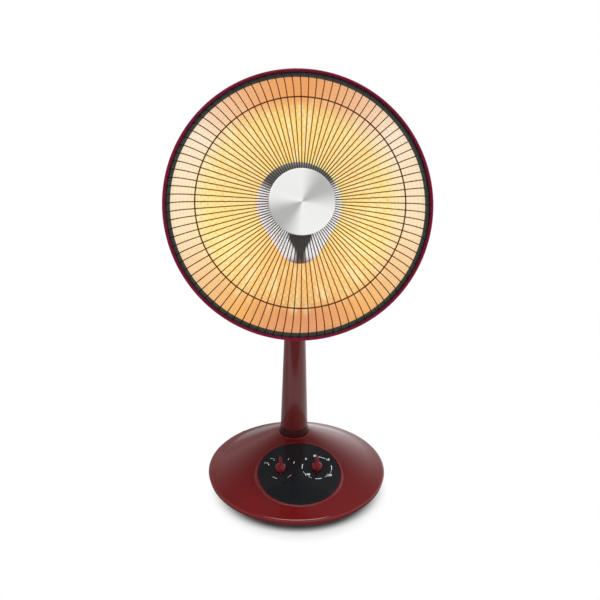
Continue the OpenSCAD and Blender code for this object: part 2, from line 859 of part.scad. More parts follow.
module terminal_cover() {
    low = shell_back_z - terminal_h;
    in_r = terminal_r - shell_wall;
    edge = shell_back_at(terminal_r) - seat;
    in_edge = shell_back_at(in_r) - seat;
    color(black) at_head() difference() {
        rotate_extrude() difference() {
            polygon([[0, low], [terminal_r - cover_round, low],
                [terminal_r - 0.3 * cover_round, low + 0.3 * cover_round], [terminal_r, low + cover_round],
                [terminal_r, edge], [in_r, in_edge], [0, in_edge]]);
            polygon([[-1, low + shell_wall], [terminal_r - cover_round, low + shell_wall],
                [in_r, low + cover_round], [in_r, edge + 1], [-1, edge + 1]]);
        }
        for (y = [-2.5:2.5]) translate([0, y * louvre_step, low]) vent_slot(louvre_len, louvre_w);
        at_shell_screws() cylinder(r = screw_r + 0.2, h = 4 * terminal_h, center = true);
    }
}

module cover_screws() {
    low = shell_back_z - terminal_h - seat;
    color(steel) at_head() ring_of(3, cover_screw_at, 90) translate([0, 0, low])
        screw(screw_r - 0.1, terminal_h + 6, head_cap_r, head_cap_h);
}

function bowl_z(r) = vertex_z + reflector_depth * pow(r / reflector_r, 2);

module reflector() {
    front = [for (i = [0:reflector_steps]) let (r = reflector_r * i / reflector_steps) [r, bowl_z(r)]];
    back = [for (i = [reflector_steps:-1:0]) [front[i][0], front[i][1] - reflector_t]];
    edge_r = reflector_r + flange_w;
    edge_z = bowl_z(reflector_r);
    color(glow) at_head() difference() {
        rotate_extrude($fn = 180)
            polygon(concat(front, [[edge_r, edge_z], [edge_r, edge_z - reflector_t]], back));
        translate([0, 0, vertex_z]) cylinder(r = stub_r + 0.3, h = 20, center = true);
        for (x = [-leg_x, leg_x]) translate([x, leg_y, vertex_z])
            cylinder(r = cap_r + 0.5, h = 40, center = true);
    }
}

module reflector_spacers() {
    low = shell_ball_z - sqrt(pow(shell_in_ball_r, 2) - pow(spacer_ring_r + spacer_r, 2)) + seat;
    high = bowl_z(spacer_ring_r - spacer_r) - reflector_t - seat - 0.2;
    color(steel) at_head() ring_of(spacer_n, spacer_ring_r, 90) translate([0, 0, low])
        cylinder(r = spacer_r, h = high - low);
}

// Button of the overheat cutout, flat against the back of the reflector
module thermal_cutout() {
    slope = atan(2 * reflector_depth * cutout_at / pow(reflector_r, 2));
    color(steel) at_head() rotate([0, 0, 40]) translate([cutout_at, 0, bowl_z(cutout_at) - reflector_t])
        rotate([0, -slope, 0]) {
            translate([0, 0, -cutout_flange_t - 0.2]) cylinder(r = cutout_r + 2, h = cutout_flange_t);
            translate([0, 0, -cutout_h - 0.2]) cylinder(r = cutout_r, h = cutout_h - cutout_flange_t);
        }
}

module rim_ring() {
    back = shoulder_z - shoulder_t - seat - 2.4;
    color(crimson) at_head() rotate_extrude($fn = 180) difference() {
        union() {
            translate([head_r - rim_round, rim_front_z - rim_round]) circle(r = rim_round, $fn = 48);
            translate([head_r - rim_round, back + rim_round]) circle(r = rim_round, $fn = 48);
            translate([head_r - rim_w, back + rim_round])
                square([rim_w, rim_front_z - back - 2 * rim_round]);
        }
        translate([head_r - rim_w - 1, shoulder_z - shoulder_t - seat])
            square([rim_w + 1 - rim_skin, hoop_z + hoop_r + seat - shoulder_z + shoulder_t + seat]);
    }
}

module guard_wires() {
    color(dark_wire) at_head() for (i = [0:wire_n - 1]) rotate([0, 0, 90 + wire_turn + i * 360 / wire_n]) {
        translate([0, 0, bow_z]) wire_arc(wire_bow_r, 90 - knee_a, 90 - start_a, wire_r);
        translate([bend_c[0], 0, bend_c[1]])
            wire_arc(bend_r, 90 - end_a, 90 - knee_a + joint_a, wire_r - joint_step);
    }
}

// Depth of the guard's bow at a radius inside the knee
function bow_at(r) = bow_z + sqrt(wire_bow_r * wire_bow_r - r * r);

module guard_ring(r, z, wire) {
    translate([0, 0, z]) rotate_extrude($fn = 360) translate([r, 0]) circle(r = wire, $fn = 24);
}

module guard_rings() {
    back = wire_r + ring_r + 0.03;
    color(dark_wire) at_head() {
        guard_ring(inner_ring_r, bow_at(inner_ring_r) - back, ring_r);
        guard_ring(mid_ring_r, bow_at(mid_ring_r) - back * 1.02, ring_r);
        guard_ring(hoop_ring_r, hoop_z, hoop_r);
    }
}

module hub_badge() {
    low = hub_rise + wire_r + badge_lift;
    lip_in_r = hub_r - badge_lip_w;
    lip_low = bow_at(lip_in_r) + wire_r + seat;
    color(steel) at_head() difference() {
        rotate_extrude() polygon([[0, low], [lip_in_r, low], [lip_in_r, lip_low],
            [hub_r, lip_low], [hub_r, low + badge_t - badge_round],
            [hub_r - badge_round, low + badge_t], [0, low + badge_t]]);
        translate([0, 0, low - 1]) cylinder(r = stub_r - 0.4 + seat, h = 2);
    }
}

module hub_backplate() {
    high = bow_at(inner_ring_r) - wire_r - 2 * ring_r - 0.08;
    color(steel) at_head() difference() {
        translate([0, 0, high - backplate_t]) cylinder(r = inner_ring_r + 3, h = backplate_t);
        translate([0, 0, high - 5]) cylinder(r = stub_r + 0.2, h = 10);
    }
}

module hub_screw() {
    low = bow_at(inner_ring_r) - wire_r - 2 * ring_r - 0.08 - backplate_t - seat;
    color(steel) at_head() translate([0, 0, low])
        screw(stub_r - 0.4, hub_rise + wire_r + 0.9 - low, head_cap_r + 0.5, head_cap_h);
}

// One leg of the lamp: a quarter bend back from the ring, then a straight run into its cap
module lamp_leg(tube) {
    over_a = 2;
    translate([lamp_r * cos(leg_a), lamp_r * sin(leg_a), leg_top_z]) rotate([90, 0, 180 + lamp_open])
        rotate([0, 0, -over_a]) rotate_extrude(angle = 90 + 2 * over_a)
            translate([leg_bend_r, 0]) circle(r = tube - joint_step, $fn = 32);
    translate([leg_x, leg_y, leg_low_z]) cylinder(r = tube, h = leg_top_z - leg_low_z);
}

module lamp_path(tube) {
    translate([0, 0, -lamp_back]) rotate([0, 0, leg_a]) rotate_extrude(angle = 360 - 2 * lamp_open)
        translate([lamp_r, 0]) circle(r = tube, $fn = 32);
    lamp_leg(tube);
    mirror([1, 0, 0]) lamp_leg(tube);
}

module ring_lamp() {
    color([0.95, 0.95, 0.92, 0.5]) at_head() difference() {
        lamp_path(tube_r);
        lamp_path(tube_r - tube_wall);
    }
}

module filament() {
    color(glow) at_head() lamp_path(1.4);
}

module lamp_caps() {
    color(cream) at_head() for (x = [-leg_x, leg_x]) translate([x, leg_y, 0]) difference() {
        translate([0, 0, cap_back_z]) cylinder(r = cap_r, h = cap_front_z - cap_back_z);
        translate([0, 0, leg_low_z - 0.3]) cylinder(r = tube_r + 0.2, h = 40);
    }
}

// Plate behind the reflector that carries the lamp's two caps on a pair of posts
module lamp_bracket() {
    top = cap_back_z - seat;
    color(steel) at_head() translate([0, leg_y, 0]) {
        difference() {
            translate([-leg_x - cap_r - 4, -cap_r - 3, top - bracket_t])
                cube([2 * (leg_x + cap_r + 4), 2 * (cap_r + 3), bracket_t]);
            for (x = [-leg_x, leg_x]) translate([x, 0, top - 5]) cylinder(r = 3, h = 10);
        }
        for (y = [-cap_r, cap_r]) translate([0, y, top - 0.5])
            cylinder(r = 2, h = bowl_z(-leg_y - y - 2) - reflector_t - seat - top + 0.5);
    }
}

// Wire posts from the reflector, each with a ring round the lamp's tube
module lamp_clips() {
    low = bowl_z(lamp_r + clip_post_r) + seat;
    color(steel) at_head() for (a = [40, 140]) rotate([0, 0, a]) translate([lamp_r, 0, 0]) {
        translate([0, 0, low]) cylinder(r = clip_post_r, h = -lamp_back - tube_r - 1 - low);
        translate([0, 0, -lamp_back]) rotate([90, 0, 0]) rotate_extrude() translate([tube_r + 0.9, 0])
            square([1.2, 4], center = true);
    }
}

function arc_points(c, r, a0, a1, n) = [for (i = [0:n]) let (a = a0 + (a1 - a0) * i / n)
    [c[0] + r * cos(a), c[1] + r * sin(a)]];

// Two arcs joined by their common tangents
module teardrop() {
    polygon(concat(arc_points([0, 0], shield_r, -tangent_a, 180 + tangent_a, 60),
        arc_points([0, -shield_len], shield_tip_r, 180 + tangent_a, 360 - tangent_a, 24)));
}

module shield() {
    color(steel) at_head() difference() {
        intersection() {
            translate([0, 0, crown_z]) difference() {
                sphere(r = shield_crown_r, $fn = 360);
                sphere(r = shield_crown_r - shield_t, $fn = 360);
            }
            translate([0, 0, -30]) linear_extrude(height = 60) teardrop();
        }
        cylinder(r = stub_r + 0.2, h = 60, center = true);
    }
}

module shield_post() {
    color(steel) at_head() {
        translate([0, 0, vertex_z + seat])
            cylinder(r = post_r, h = shield_rise - shield_t - 0.15 - vertex_z - seat);
        translate([0, 0, vertex_z - 6]) cylinder(r = stub_r, h = shield_rise + 4 - vertex_z + 6);
    }
}

module shield_nuts() {
    color(steel) at_head() {
        translate([0, 0, shield_rise + seat]) tube(stud_nut_r, stub_r + seat, stud_nut_h);
        translate([0, 0, vertex_z - reflector_t - seat - stud_nut_h])
            tube(stud_nut_r, stub_r + seat, stud_nut_h);
    }
}

base_cover();
base_plate();
ballast_ring();
rubber_feet();
base_screws();
control_panel();
power_switch();
timer_body();
tip_switch();
tip_plunger();
cord_gland();
terminal_block();
upper_bush();
lower_bearing();
osc_motor();
crank();
link_rod();
swing_lever();
lever_pin();
retaining_ring();
power_knob();
power_spindle();
timer_knob();
timer_spindle();
column_collar();
column_shell();
stand_pipe();
neck_fork();
tilt_bolt();
tilt_nut();
tilt_knuckle();
knuckle_screws();
rear_shell();
terminal_cover();
cover_screws();
reflector();
reflector_spacers();
thermal_cutout();
rim_ring();
guard_wires();
guard_rings();
hub_badge();
hub_backplate();
hub_screw();
ring_lamp();
filament();
lamp_caps();
lamp_bracket();
lamp_clips();
shield();
shield_post();
shield_nuts();
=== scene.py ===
"""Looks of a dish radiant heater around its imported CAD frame.

Sizes below are in millimetres, as in the part's source; meshes are made in metres.
Places and distances in the looks, the floor and the lights are in metres.
"""
import math

import bmesh  # noqa: E402
import bpy  # noqa: E402
from mathutils import Matrix, Vector  # noqa: E402
from mathutils.geometry import tessellate_polygon  # noqa: E402


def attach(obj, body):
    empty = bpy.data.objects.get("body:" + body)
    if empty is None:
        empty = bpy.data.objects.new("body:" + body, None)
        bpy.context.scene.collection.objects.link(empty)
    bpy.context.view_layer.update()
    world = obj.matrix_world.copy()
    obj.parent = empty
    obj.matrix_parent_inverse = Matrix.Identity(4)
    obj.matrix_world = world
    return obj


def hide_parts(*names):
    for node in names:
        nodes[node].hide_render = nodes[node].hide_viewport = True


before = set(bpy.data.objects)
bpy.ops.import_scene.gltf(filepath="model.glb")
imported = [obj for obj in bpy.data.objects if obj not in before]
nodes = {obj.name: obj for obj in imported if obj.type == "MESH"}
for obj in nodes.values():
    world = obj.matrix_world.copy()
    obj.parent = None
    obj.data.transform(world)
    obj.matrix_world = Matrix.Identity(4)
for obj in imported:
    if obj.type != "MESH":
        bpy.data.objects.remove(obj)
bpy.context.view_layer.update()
MM = 0.001
WELD = 1e-7
WORLD = Matrix.Identity(4)

# Sizes of the base
BASE_R, RIM_Z, CREASE_W, CREASE_RISE = 137.4, 13.4, 12.2, 2.0
CREASE_R, CREASE_Z = BASE_R - CREASE_W, RIM_Z + CREASE_RISE
FOOT_Y, FOOT_R, FOOT_Z, COVER_WALL = 50.0, 25.2, 47.9, 2.6
COVER_LOW_Z, SKIRT_LOW_R, SKIRT_TOP_Z = 3.8, BASE_R - 1.6, RIM_Z - 2.4
DOME_BULGE, BUSH_R, CREASE_FILL, CREASE_STEPS = 0.08, 14.65, 0.45, 8
LIP_R, LIP_W, LIP_H = 22.9, 1.7, 1.3
PANEL_R, PANEL_T, PANEL_FRONT, PANEL_Z, PANEL_SLOPE, PANEL_HOLE_R = 62.9, 2.0, 47.2, 33.8, 13.3, 3.4
BOSS_W, BOSS_FLARE, BOSS_DROP, BOSS_LIP, LEDGE_W = 2.6, 3.4, 9.0, 0.4, 4.0
BOSS_FIT, LEDGE_T, LEDGE_GAP, SINK_R, SINK_TOP, SINK_UNDER = 0.15, 3.0, 0.05, PANEL_R + 1.4, 4.0, 6.5
KNOB_X, KNOB_UP, KNOB_LEN, KNOB_W, KNOB_H = 28.0, 10.0, 28.0, 15.6, 17.0
KNOB_LIFT, KNOB_BODY_H, KNOB_BORE_R, KNOB_BORE_H = 0.6, 9.0, 3.05, 7.0
BLADE_T, BLADE_R, BLADE_POINT, BLADE_ROUND, BLADE_GAP = 5.0, 45.0, 0.12, 0.8, 0.4
CROWN_R, CROWN_STEPS = 11.0, 16
MARK_Z, MARK_TALL, FIGURE_Z, FIGURE_HALF_T, FIGURE_BOLD = 0.02, 0.12, 0.07, 0.05, 0.15
GLAND_TURN, GLAND_Z, GLAND_R, GLAND_BORE_R, GLAND_DEEP = 125.0, 8.5, 3.6, 2.8, 4.0
# Sizes of the column
COLLAR_R, COLLAR_LOW, COLLAR_TOP, COLLAR_STRAIGHT = 22.5, 48.3, 62.3, 5
COLUMN_LOW_R, COLUMN_HIGH_R, COLUMN_LOW, COLUMN_TOP, COLUMN_WALL = 21.3, 14.2, 62.35, 290.0, 2.2
PIPE_R, SPIGOT_R, SPIGOT_H, RECESS_R, RECESS_H = 10.05, 18.7, 8.0, 18.8, 2.4
# Sizes of the head, along the dish axis from the front of the rim
HEAD_Z, HEAD_TILT = 450.4, 25.0
REFLECTOR_R, REFLECTOR_DEPTH, REFLECTOR_T, VERTEX_Z = 178.7, 80.0, 1.0, -87.45
REFLECTOR_HOLE_R, REFLECTOR_LIP, FRONT_FACING = 2.4, 2, 0.02
WIRE_R, HUB_GAP, HUB_RISE, HUB_R, HUB_EDGE = 0.75, 0.1, 45.2, 45.4, 0.9
HUB_WALL, HUB_T, HUB_CROWN = 1.5, 2.0, 0.35
LAMP_R, LAMP_BACK, LAMP_OPEN = 44.0, 14.0, 28.0
SHIELD_R, SHIELD_TIP_R, SHIELD_LEN = 59.5, 32.6, 49.6
SHIELD_CROWN_R, SHIELD_RISE, SHIELD_T = 220.0, 7.0, 0.8
SHIELD_HOLE, SHIELD_EDGE, SHIELD_EDGE_DROP = 0.04, 0.955, 1.2

HEAD = Matrix.Translation((0, 0, HEAD_Z * MM)) @ Matrix.Rotation(math.radians(90 - HEAD_TILT), 4, "X")
PANEL = (Matrix.Translation((0, -PANEL_FRONT * MM, PANEL_Z * MM))
         @ Matrix.Rotation(math.radians(PANEL_SLOPE), 4, "X"))
COLUMN = Matrix.Translation((0, FOOT_Y * MM, 0))
GLAND = (Matrix.Rotation(math.radians(GLAND_TURN), 4, "Z")
         @ Matrix.Translation((BASE_R * MM, 0, GLAND_Z * MM))
         @ Matrix.Rotation(math.radians(90), 4, "Y"))

# Dots pressed into the reflector, and cells of painted lighter and darker reflected light in its colour:
# distance between their rows, and their number in a row
DOT_ROW, DOTS_ROUND, CELL_ROW, CELLS_ROUND = 0.005, 260.0, 0.010, 84.0
# Painted streaks of reflected light that run outwards on the reflector: how fine across, and how often broken
# on their way
STREAK_FINE, STREAK_BROKEN = 14.0, 30.0
# Rings on the hub, and where its painted wedges of reflected light lie, in half turns
RING_ROW, WEDGE_TURN, WEDGE_START, WEDGE_END = 0.0007, 0.83, (0.06, 0.34), (0.70, 0.98)
# Distances from the dish's axis, or from the shield's tip, over which a look changes
PEACH_START, BORDER_START, STREAKS_END = (0.124, 0.160), (0.112, 0.156), (0.135, 0.165)
CELLS_START, CELLS_END = (0.068, 0.090), (0.136, 0.148)
GLARE_WIRE_START, GLARE_TIP_START = (0.054, 0.064), (0.030, 0.038)
GLARE_DIMS_START, RIM_WIRE_START = (0.110, 0.150), (0.169, 0.173)
# The painted dark reflection streak down the shield and the painted shade on its tip, by height above the
# dish's axis
STREAK_FLARE, STREAK_TOP, TIP_SHADE_TOP = (-0.068, -0.044), (-0.044, -0.030), (-0.082, -0.070)
STREAK_HALF, STREAK_HALF_MORE, STREAK_SOFT_IN, STREAK_SOFT_OUT = 0.006, 0.010, 0.002, 0.003
# Sine of the angle over which the shield's painted reflection turns dark towards its top
SHIELD_DARK_REFLECTION = (0.35, 0.62)
# Share to the right over which the studio turns from its dim side to its bright side
RIGHT_SIDE = (-0.05, 0.22)
# Added to a distance before dividing by it
NEVER_ZERO = 0.001


# Materials
class Signal:
    """One output of a material's node tree. Arithmetic on it adds Math nodes."""

    def __init__(self, paint, socket):
        self.paint, self.socket = paint, socket

    def math(self, operation, other=0.0, swapped=False):
        first, second = (other, self) if swapped else (self, other)
        return self.paint.node("ShaderNodeMath", {0: first, 1: second}, operation=operation)

    def __add__(self, other):
        return self.math("ADD", other)

    def __sub__(self, other):
        return self.math("SUBTRACT", other)

    def __rsub__(self, other):
        return self.math("SUBTRACT", other, swapped=True)

    def __mul__(self, other):
        return self.math("MULTIPLY", other)

    def __truediv__(self, other):
        return self.math("DIVIDE", other)

    def __pow__(self, other):
        return self.math("POWER", other)

    def __neg__(self):
        return self * -1.0

    __radd__ = __add__
    __rmul__ = __mul__

    def wave(self):
        """Sine of the value, brought to the range 0 to 1."""
        return self.math("SINE") * 0.5 + 0.5

    def ease(self, start, end):
        """0 before start, 1 after end, smooth between them."""
        return self.paint.node("ShaderNodeMapRange", {"Value": self, "From Min": start, "From Max": end},
                               interpolation_type="SMOOTHSTEP")


class Paint:
    """The node tree of a material, or of the world, under construction."""

    def __init__(self, name):
        self.material = bpy.data.materials.new(name)
        self.material.use_nodes = True
        self.tree = self.material.node_tree
        self.tree.nodes.clear()

    @classmethod
    def around(cls, tree):
        """The same tools on a tree that is there already, emptied."""
        made = cls.__new__(cls)
        made.tree = tree
        tree.nodes.clear()
        return made

    def node(self, kind, sockets=None, out=0, **settings):
        made = self.tree.nodes.new(kind)
        for key, value in settings.items():
            if key == "stops":
                self.fill_ramp(made.color_ramp, value)
            else:
                setattr(made, key, value)
        for key, value in (sockets or {}).items():
            self.feed(made.inputs[key], value)
        return Signal(self, made.outputs[out]) if made.outputs else None

    def feed(self, socket, value):
        if isinstance(value, Signal):
            self.tree.links.new(value.socket, socket)
        elif isinstance(value, tuple) and socket.type == "RGBA" and len(value) == 3:
            socket.default_value = (*value, 1.0)
        else:
            socket.default_value = value

    @staticmethod
    def fill_ramp(ramp, stops):
        while len(ramp.elements) < len(stops):
            ramp.elements.new(0.5)
        for element, (position, colour) in zip(ramp.elements, stops):
            element.position = position
            element.color = (*colour, 1.0)

    def place(self):
        return self.node("ShaderNodeTexCoord", out="Object")

    def axis(self, name):
        """One coordinate of the piece's own place."""
        return self.node("ShaderNodeSeparateXYZ", {"Vector": self.place()}, out=name)

    def noise(self, scale, detail=3.0, place=None):
        place = place or self.place()
        return self.node("ShaderNodeTexNoise", {"Vector": place, "Scale": scale, "Detail": detail})

    def ramp(self, value, stops):
        return self.node("ShaderNodeValToRGB", {0: value}, stops=stops)

    def mix(self, factor, first, second):
        return self.node("ShaderNodeMix", {0: factor, 6: first, 7: second}, out=2, data_type="RGBA")

    def layers(self, colour, *layers):
        """The colour with others laid over it in turn, each by its own factor."""
        for factor, above in layers:
            colour = self.mix(factor, colour, above)
        return colour

    def bump(self, height, strength, distance=0.0002):
        return self.node("ShaderNodeBump", {"Height": height, "Strength": strength, "Distance": distance})

    def shader(self, **sockets):
        """The Principled shader, wired to the output."""
        values = {key.replace("_", " ").title().replace("Ior", "IOR"): value
                  for key, value in sockets.items()}
        surface = self.node("ShaderNodeBsdfPrincipled", values)
        self.node("ShaderNodeOutputMaterial", {"Surface": surface})
        return self.material

    def plain(self, kind, level):
        """A grey shader of the given kind."""
        return self.node(kind, {"Color": grey(level)})

    def blend(self, factor, first, second):
        """The first shader turning into the second."""
        return self.node("ShaderNodeMixShader", {0: factor, 1: first, 2: second})

    def ray(self, kind):
        """1 for rays of one kind, 0 for others."""
        return self.node("ShaderNodeLightPath", out=f"Is {kind} Ray")


def grey(level):
    return (level, level, level)


def srgb(red, green, blue):
    """A colour given as it looks on a screen, 0 to 255, as linear light."""
    def linear(value):
        value /= 255
        return value / 12.92 if value <= 0.04045 else ((value + 0.055) / 1.055) ** 2.4
    return (linear(red), linear(green), linear(blue))


def glossy_plastic(name, colour, deep, rough, peel=0.05, coat=0.0, shine=0.5):
    """Moulded plastic with a clear gloss: slow drift of colour and a faint orange peel."""
    paint = Paint(name)
    drift = paint.noise(9.0, 2.0)
    fine = paint.noise(420.0, 2.0)
    return paint.shader(base_color=paint.mix(drift, deep, colour), roughness=rough + 0.08 * drift,
                        specular_ior_level=shine, coat_weight=coat, coat_roughness=0.04,
                        normal=paint.bump(fine, peel))


def grained_plastic(name, colour, pale, rough=0.5, grain=0.35):
    """Matt moulded plastic with spark-eroded grain."""
    paint = Paint(name)
    cells = paint.node("ShaderNodeTexVoronoi", {"Vector": paint.place(), "Scale": 900.0})
    cloud = paint.noise(25.0)
    return paint.shader(base_color=paint.mix(cloud, colour, pale), roughness=rough + 0.12 * cloud,
                        normal=paint.bump(cells, grain, 0.0003))


def metal(name, colour, dull, rough, brush=(1.0, 1.0, 1.0), scale=300.0, strength=0.12):
    """Bare metal, brushed along the axis whose factor is small."""
    paint = Paint(name)
    stretched = paint.node("ShaderNodeMapping", {"Vector": paint.place(), "Scale": brush})
    lines = paint.noise(scale, 4.0, stretched)
    cloud = paint.noise(40.0)
    return paint.shader(base_color=paint.mix(cloud, dull, colour), metallic=1.0,
                        roughness=rough + 0.18 * lines, normal=paint.bump(lines, strength))


def coated_metal(name, colour, pale, grain=0.1, coat=0.25, shine=0.5):
    """Paint or powder coat on steel."""
    paint = Paint(name)
    peel = paint.noise(650.0, 2.0)
    cloud = paint.noise(20.0)
    return paint.shader(base_color=paint.mix(cloud, colour, pale), roughness=0.5 + 0.1 * cloud,
                        specular_ior_level=shine, coat_weight=coat, coat_roughness=0.15,
                        normal=paint.bump(peel, grain))


def dish_axes(paint):
    """Place across and up in the dish's own plane, and the distance from its axis, in metres."""
    x = paint.axis("X")
    tilt = math.radians(HEAD_TILT)
    up = math.sin(tilt) * paint.axis("Y") + math.cos(tilt) * (paint.axis("Z") - HEAD_Z * MM)
    return x, up, (x * x + up * up) ** 0.5


def reflector_glow():
    """Embossed reflector sheet with the reflected light of its lamp painted on as colour and glow:
    yellow within, peach at the sides, orange at the top and the bottom."""
    paint = Paint("reflector_glow")
    x, y, radius = dish_axes(paint)
    across, up = x / (radius + NEVER_ZERO), y / (radius + NEVER_ZERO)
    turn = y.math("ARCTAN2", x)
    height = up * 0.5 + 0.5
    yellow = paint.ramp(height, [
        (0.0, srgb(249, 196, 120)), (0.25, srgb(253, 233, 148)), (0.5, srgb(254, 237, 153)),
        (0.85, srgb(253, 234, 158)), (1.0, srgb(252, 224, 134))])
    peach = paint.ramp(height, [
        (0.0, srgb(226, 150, 100)), (0.07, srgb(245, 181, 102)), (0.4, srgb(252, 232, 192)),
        (0.8, srgb(252, 234, 206)), (1.0, srgb(239, 163, 97))])
    border = radius.ease(*BORDER_START)
    dots = (radius * (2 * math.pi / DOT_ROW)).wave() * (turn * DOTS_ROUND).wave()
    cells = ((radius * (2 * math.pi / CELL_ROW)).wave() - 0.5) * ((turn * CELLS_ROUND).wave() - 0.5) * 4.0
    blots = paint.noise(150.0, 2.0)
    painted_cell_share = (0.5 + 0.5 * blots.ease(0.35, 0.6)) * radius.ease(*CELLS_START) * (1.0 - radius.ease(*CELLS_END))
    spokes = paint.node("ShaderNodeCombineXYZ", {0: across * STREAK_FINE, 1: up * STREAK_FINE,
                                                 2: radius * STREAK_BROKEN})
    painted_streaks = paint.noise(1.0, 2.0, spokes).ease(0.50, 0.66) * (1.0 - radius.ease(*STREAKS_END))
    # Painted reflected light: the glow with its streaks, cells and blots, and painted shade darkening the
    # pressed dots
    glow = paint.layers(
        paint.mix(radius.ease(*PEACH_START), yellow, peach),
        (painted_streaks * 0.6, srgb(255, 248, 190)),
        (cells.ease(0.1, 0.8) * painted_cell_share * 0.5, srgb(255, 243, 188)),
        ((-cells).ease(0.1, 0.8) * painted_cell_share * 0.42, srgb(250, 186, 84)),
        (blots.ease(0.50, 0.72) * (1.0 - border) * 0.30, srgb(255, 190, 84)),
        (dots.ease(0.35, 1.0) * (0.10 + 0.22 * border), srgb(218, 130, 70)))
    # The sheet is no lamp; the painted glow is also given as emission
    return paint.shader(base_color=paint.mix(0.62, glow, grey(0.0)), roughness=0.42, emission_color=glow,
                        emission_strength=0.68, normal=paint.bump(dots, 0.4, 0.0006))


def spun_aluminium():
    """Spun disc: fine rings in the relief and two painted wedges of reflected light across the centre."""
    paint = Paint("spun_aluminium")
    x, y, radius = dish_axes(paint)
    fold = (y.math("ARCTAN2", x) / math.pi + WEDGE_TURN).math("FRACT")
    light = fold.ease(*WEDGE_START) * (1.0 - fold.ease(*WEDGE_END))
    rings = (radius * (2 * math.pi / RING_ROW)).wave()
    lines = paint.node("ShaderNodeTexNoise", {"W": radius, "Scale": 2600.0}, noise_dimensions="1D")
    # The light wedges are a painted sheen in the base colour
    return paint.shader(base_color=paint.mix(light, srgb(182, 182, 181), srgb(245, 245, 244)), metallic=0.35,
                        roughness=0.34 + 0.1 * lines, anisotropic=0.6, normal=paint.bump(rings + lines, 0.06))


def shield_mirror():
    """Polished sheet with painted reflections and shade: dark at the top, bright at the sides, dark down the
    middle of the tip, with a faint painted glow.
    """
    paint = Paint("shield_mirror")
    x, y, radius = dish_axes(paint)
    half = STREAK_HALF + STREAK_HALF_MORE * y.ease(*STREAK_FLARE)
    beside = x.math("ABSOLUTE").ease(half - STREAK_SOFT_IN, half + STREAK_SOFT_OUT)
    painted_dark_streak = (1.0 - beside) * (1.0 - y.ease(*STREAK_TOP))
    tip = 1.0 - y.ease(*TIP_SHADE_TOP)
    top = (y / (radius + NEVER_ZERO)).ease(*SHIELD_DARK_REFLECTION)
    # Painted reflection and shade: dark top, dark streak down the middle, shaded brown tip; the emission is a
    # painted glow
    colour = paint.layers(srgb(248, 248, 248), (top, srgb(100, 98, 97)), (painted_dark_streak, srgb(62, 60, 58)),
                          (tip * 0.85, srgb(122, 84, 74)))
    cloud = paint.noise(60.0)
    return paint.shader(base_color=colour, metallic=0.15, roughness=0.26 + 0.08 * cloud,
                        emission_color=colour, emission_strength=0.2)


def wire_coat_and_glare():
    """Thin coat on the wires, with the glare of the glow behind them painted on: warm brown over the glow,
    neutral over the shield, near black at the rim.
    """
    paint = Paint("wire_coat_and_glare")
    x, y, radius = dish_axes(paint)
    speck = paint.noise(700.0, 2.0)
    above_tip = y + SHIELD_LEN * MM
    from_tip = (x * x + above_tip * above_tip) ** 0.5
    # Painted glare: warm brown where the glow lies behind the wires, dimming outwards
    clear = radius.ease(*GLARE_WIRE_START).math("MINIMUM", from_tip.ease(*GLARE_TIP_START))
    warm = paint.mix(radius.ease(*GLARE_DIMS_START), srgb(140, 62, 10), srgb(92, 46, 24))
    colour = paint.layers(srgb(58, 56, 56), (clear, warm), (radius.ease(*RIM_WIRE_START), srgb(26, 26, 27)),
                          (speck * 0.3, srgb(42, 20, 10)))
    return paint.shader(base_color=colour, roughness=0.5 + 0.1 * speck, specular_ior_level=0.15,
                        normal=paint.bump(speck, 0.1))


def quartz_glass():
    """Clear tube with a faint haze."""
    paint = Paint("quartz_glass")
    cloud = paint.noise(50.0)
    return paint.shader(base_color=srgb(250, 248, 240), roughness=0.06 + 0.08 * cloud,
                        transmission_weight=0.85, ior=1.46)


def hot_coil():
    """Wire at its working heat."""
    paint = Paint("hot_coil")
    cloud = paint.noise(300.0)
    colour = paint.mix(cloud, srgb(255, 150, 50), srgb(255, 205, 120))
    return paint.shader(base_color=srgb(150, 70, 30), roughness=0.5 + 0.1 * cloud, emission_color=colour,
                        emission_strength=2.0)


def dial_print():
    """White ink with a faint painted glow, a little brighter than its surroundings."""
    paint = Paint("dial_print")
    cloud = paint.noise(500.0)
    colour = paint.mix(cloud, srgb(225, 230, 234), srgb(250, 252, 255))
    return paint.shader(base_color=colour, roughness=0.45 + 0.1 * cloud, emission_color=colour,
                        emission_strength=0.15)


RED = glossy_plastic("red_gloss", srgb(110, 20, 22), srgb(100, 16, 18), rough=0.08, coat=0.55)
# The column's and the collar's reds are darker copies of the red plastic: painted shade from the head above
# and from dark reflections
COLUMN_RED_SHADED = glossy_plastic("column_gloss_shaded", srgb(90, 25, 26), srgb(80, 20, 21), rough=0.1, coat=0.35)
COLLAR_RED_SHADED = glossy_plastic("collar_gloss_shaded", srgb(56, 22, 22), srgb(48, 19, 19), rough=0.2, shine=0.12)
KNOB_RED = glossy_plastic("knob_gloss", srgb(122, 24, 33), srgb(98, 15, 22), rough=0.12, coat=0.4)
PANEL_BLACK = glossy_plastic("panel_gloss", srgb(29, 30, 33), srgb(23, 24, 27), rough=0.06, peel=0.02)
CRIMSON = coated_metal("crimson_paint", srgb(108, 2, 42), srgb(114, 5, 47), coat=0.0, shine=0.2)
SHOULDER = grained_plastic("black_shell", srgb(50, 54, 50), srgb(64, 69, 64))
BLACK_STEEL = coated_metal("black_powder_coat", srgb(26, 26, 27), srgb(38, 38, 39), grain=0.4)
WIRE = wire_coat_and_glare()
STEEL = metal("zinc_plate", (0.62, 0.63, 0.65), (0.42, 0.43, 0.45), 0.28)
TURNED_STEEL = metal("drawn_steel", (0.6, 0.61, 0.63), (0.45, 0.46, 0.48), 0.22, brush=(1.0, 1.0, 0.04))
BRASS = metal("turned_brass", (0.72, 0.48, 0.18), (0.5, 0.32, 0.12), 0.25)
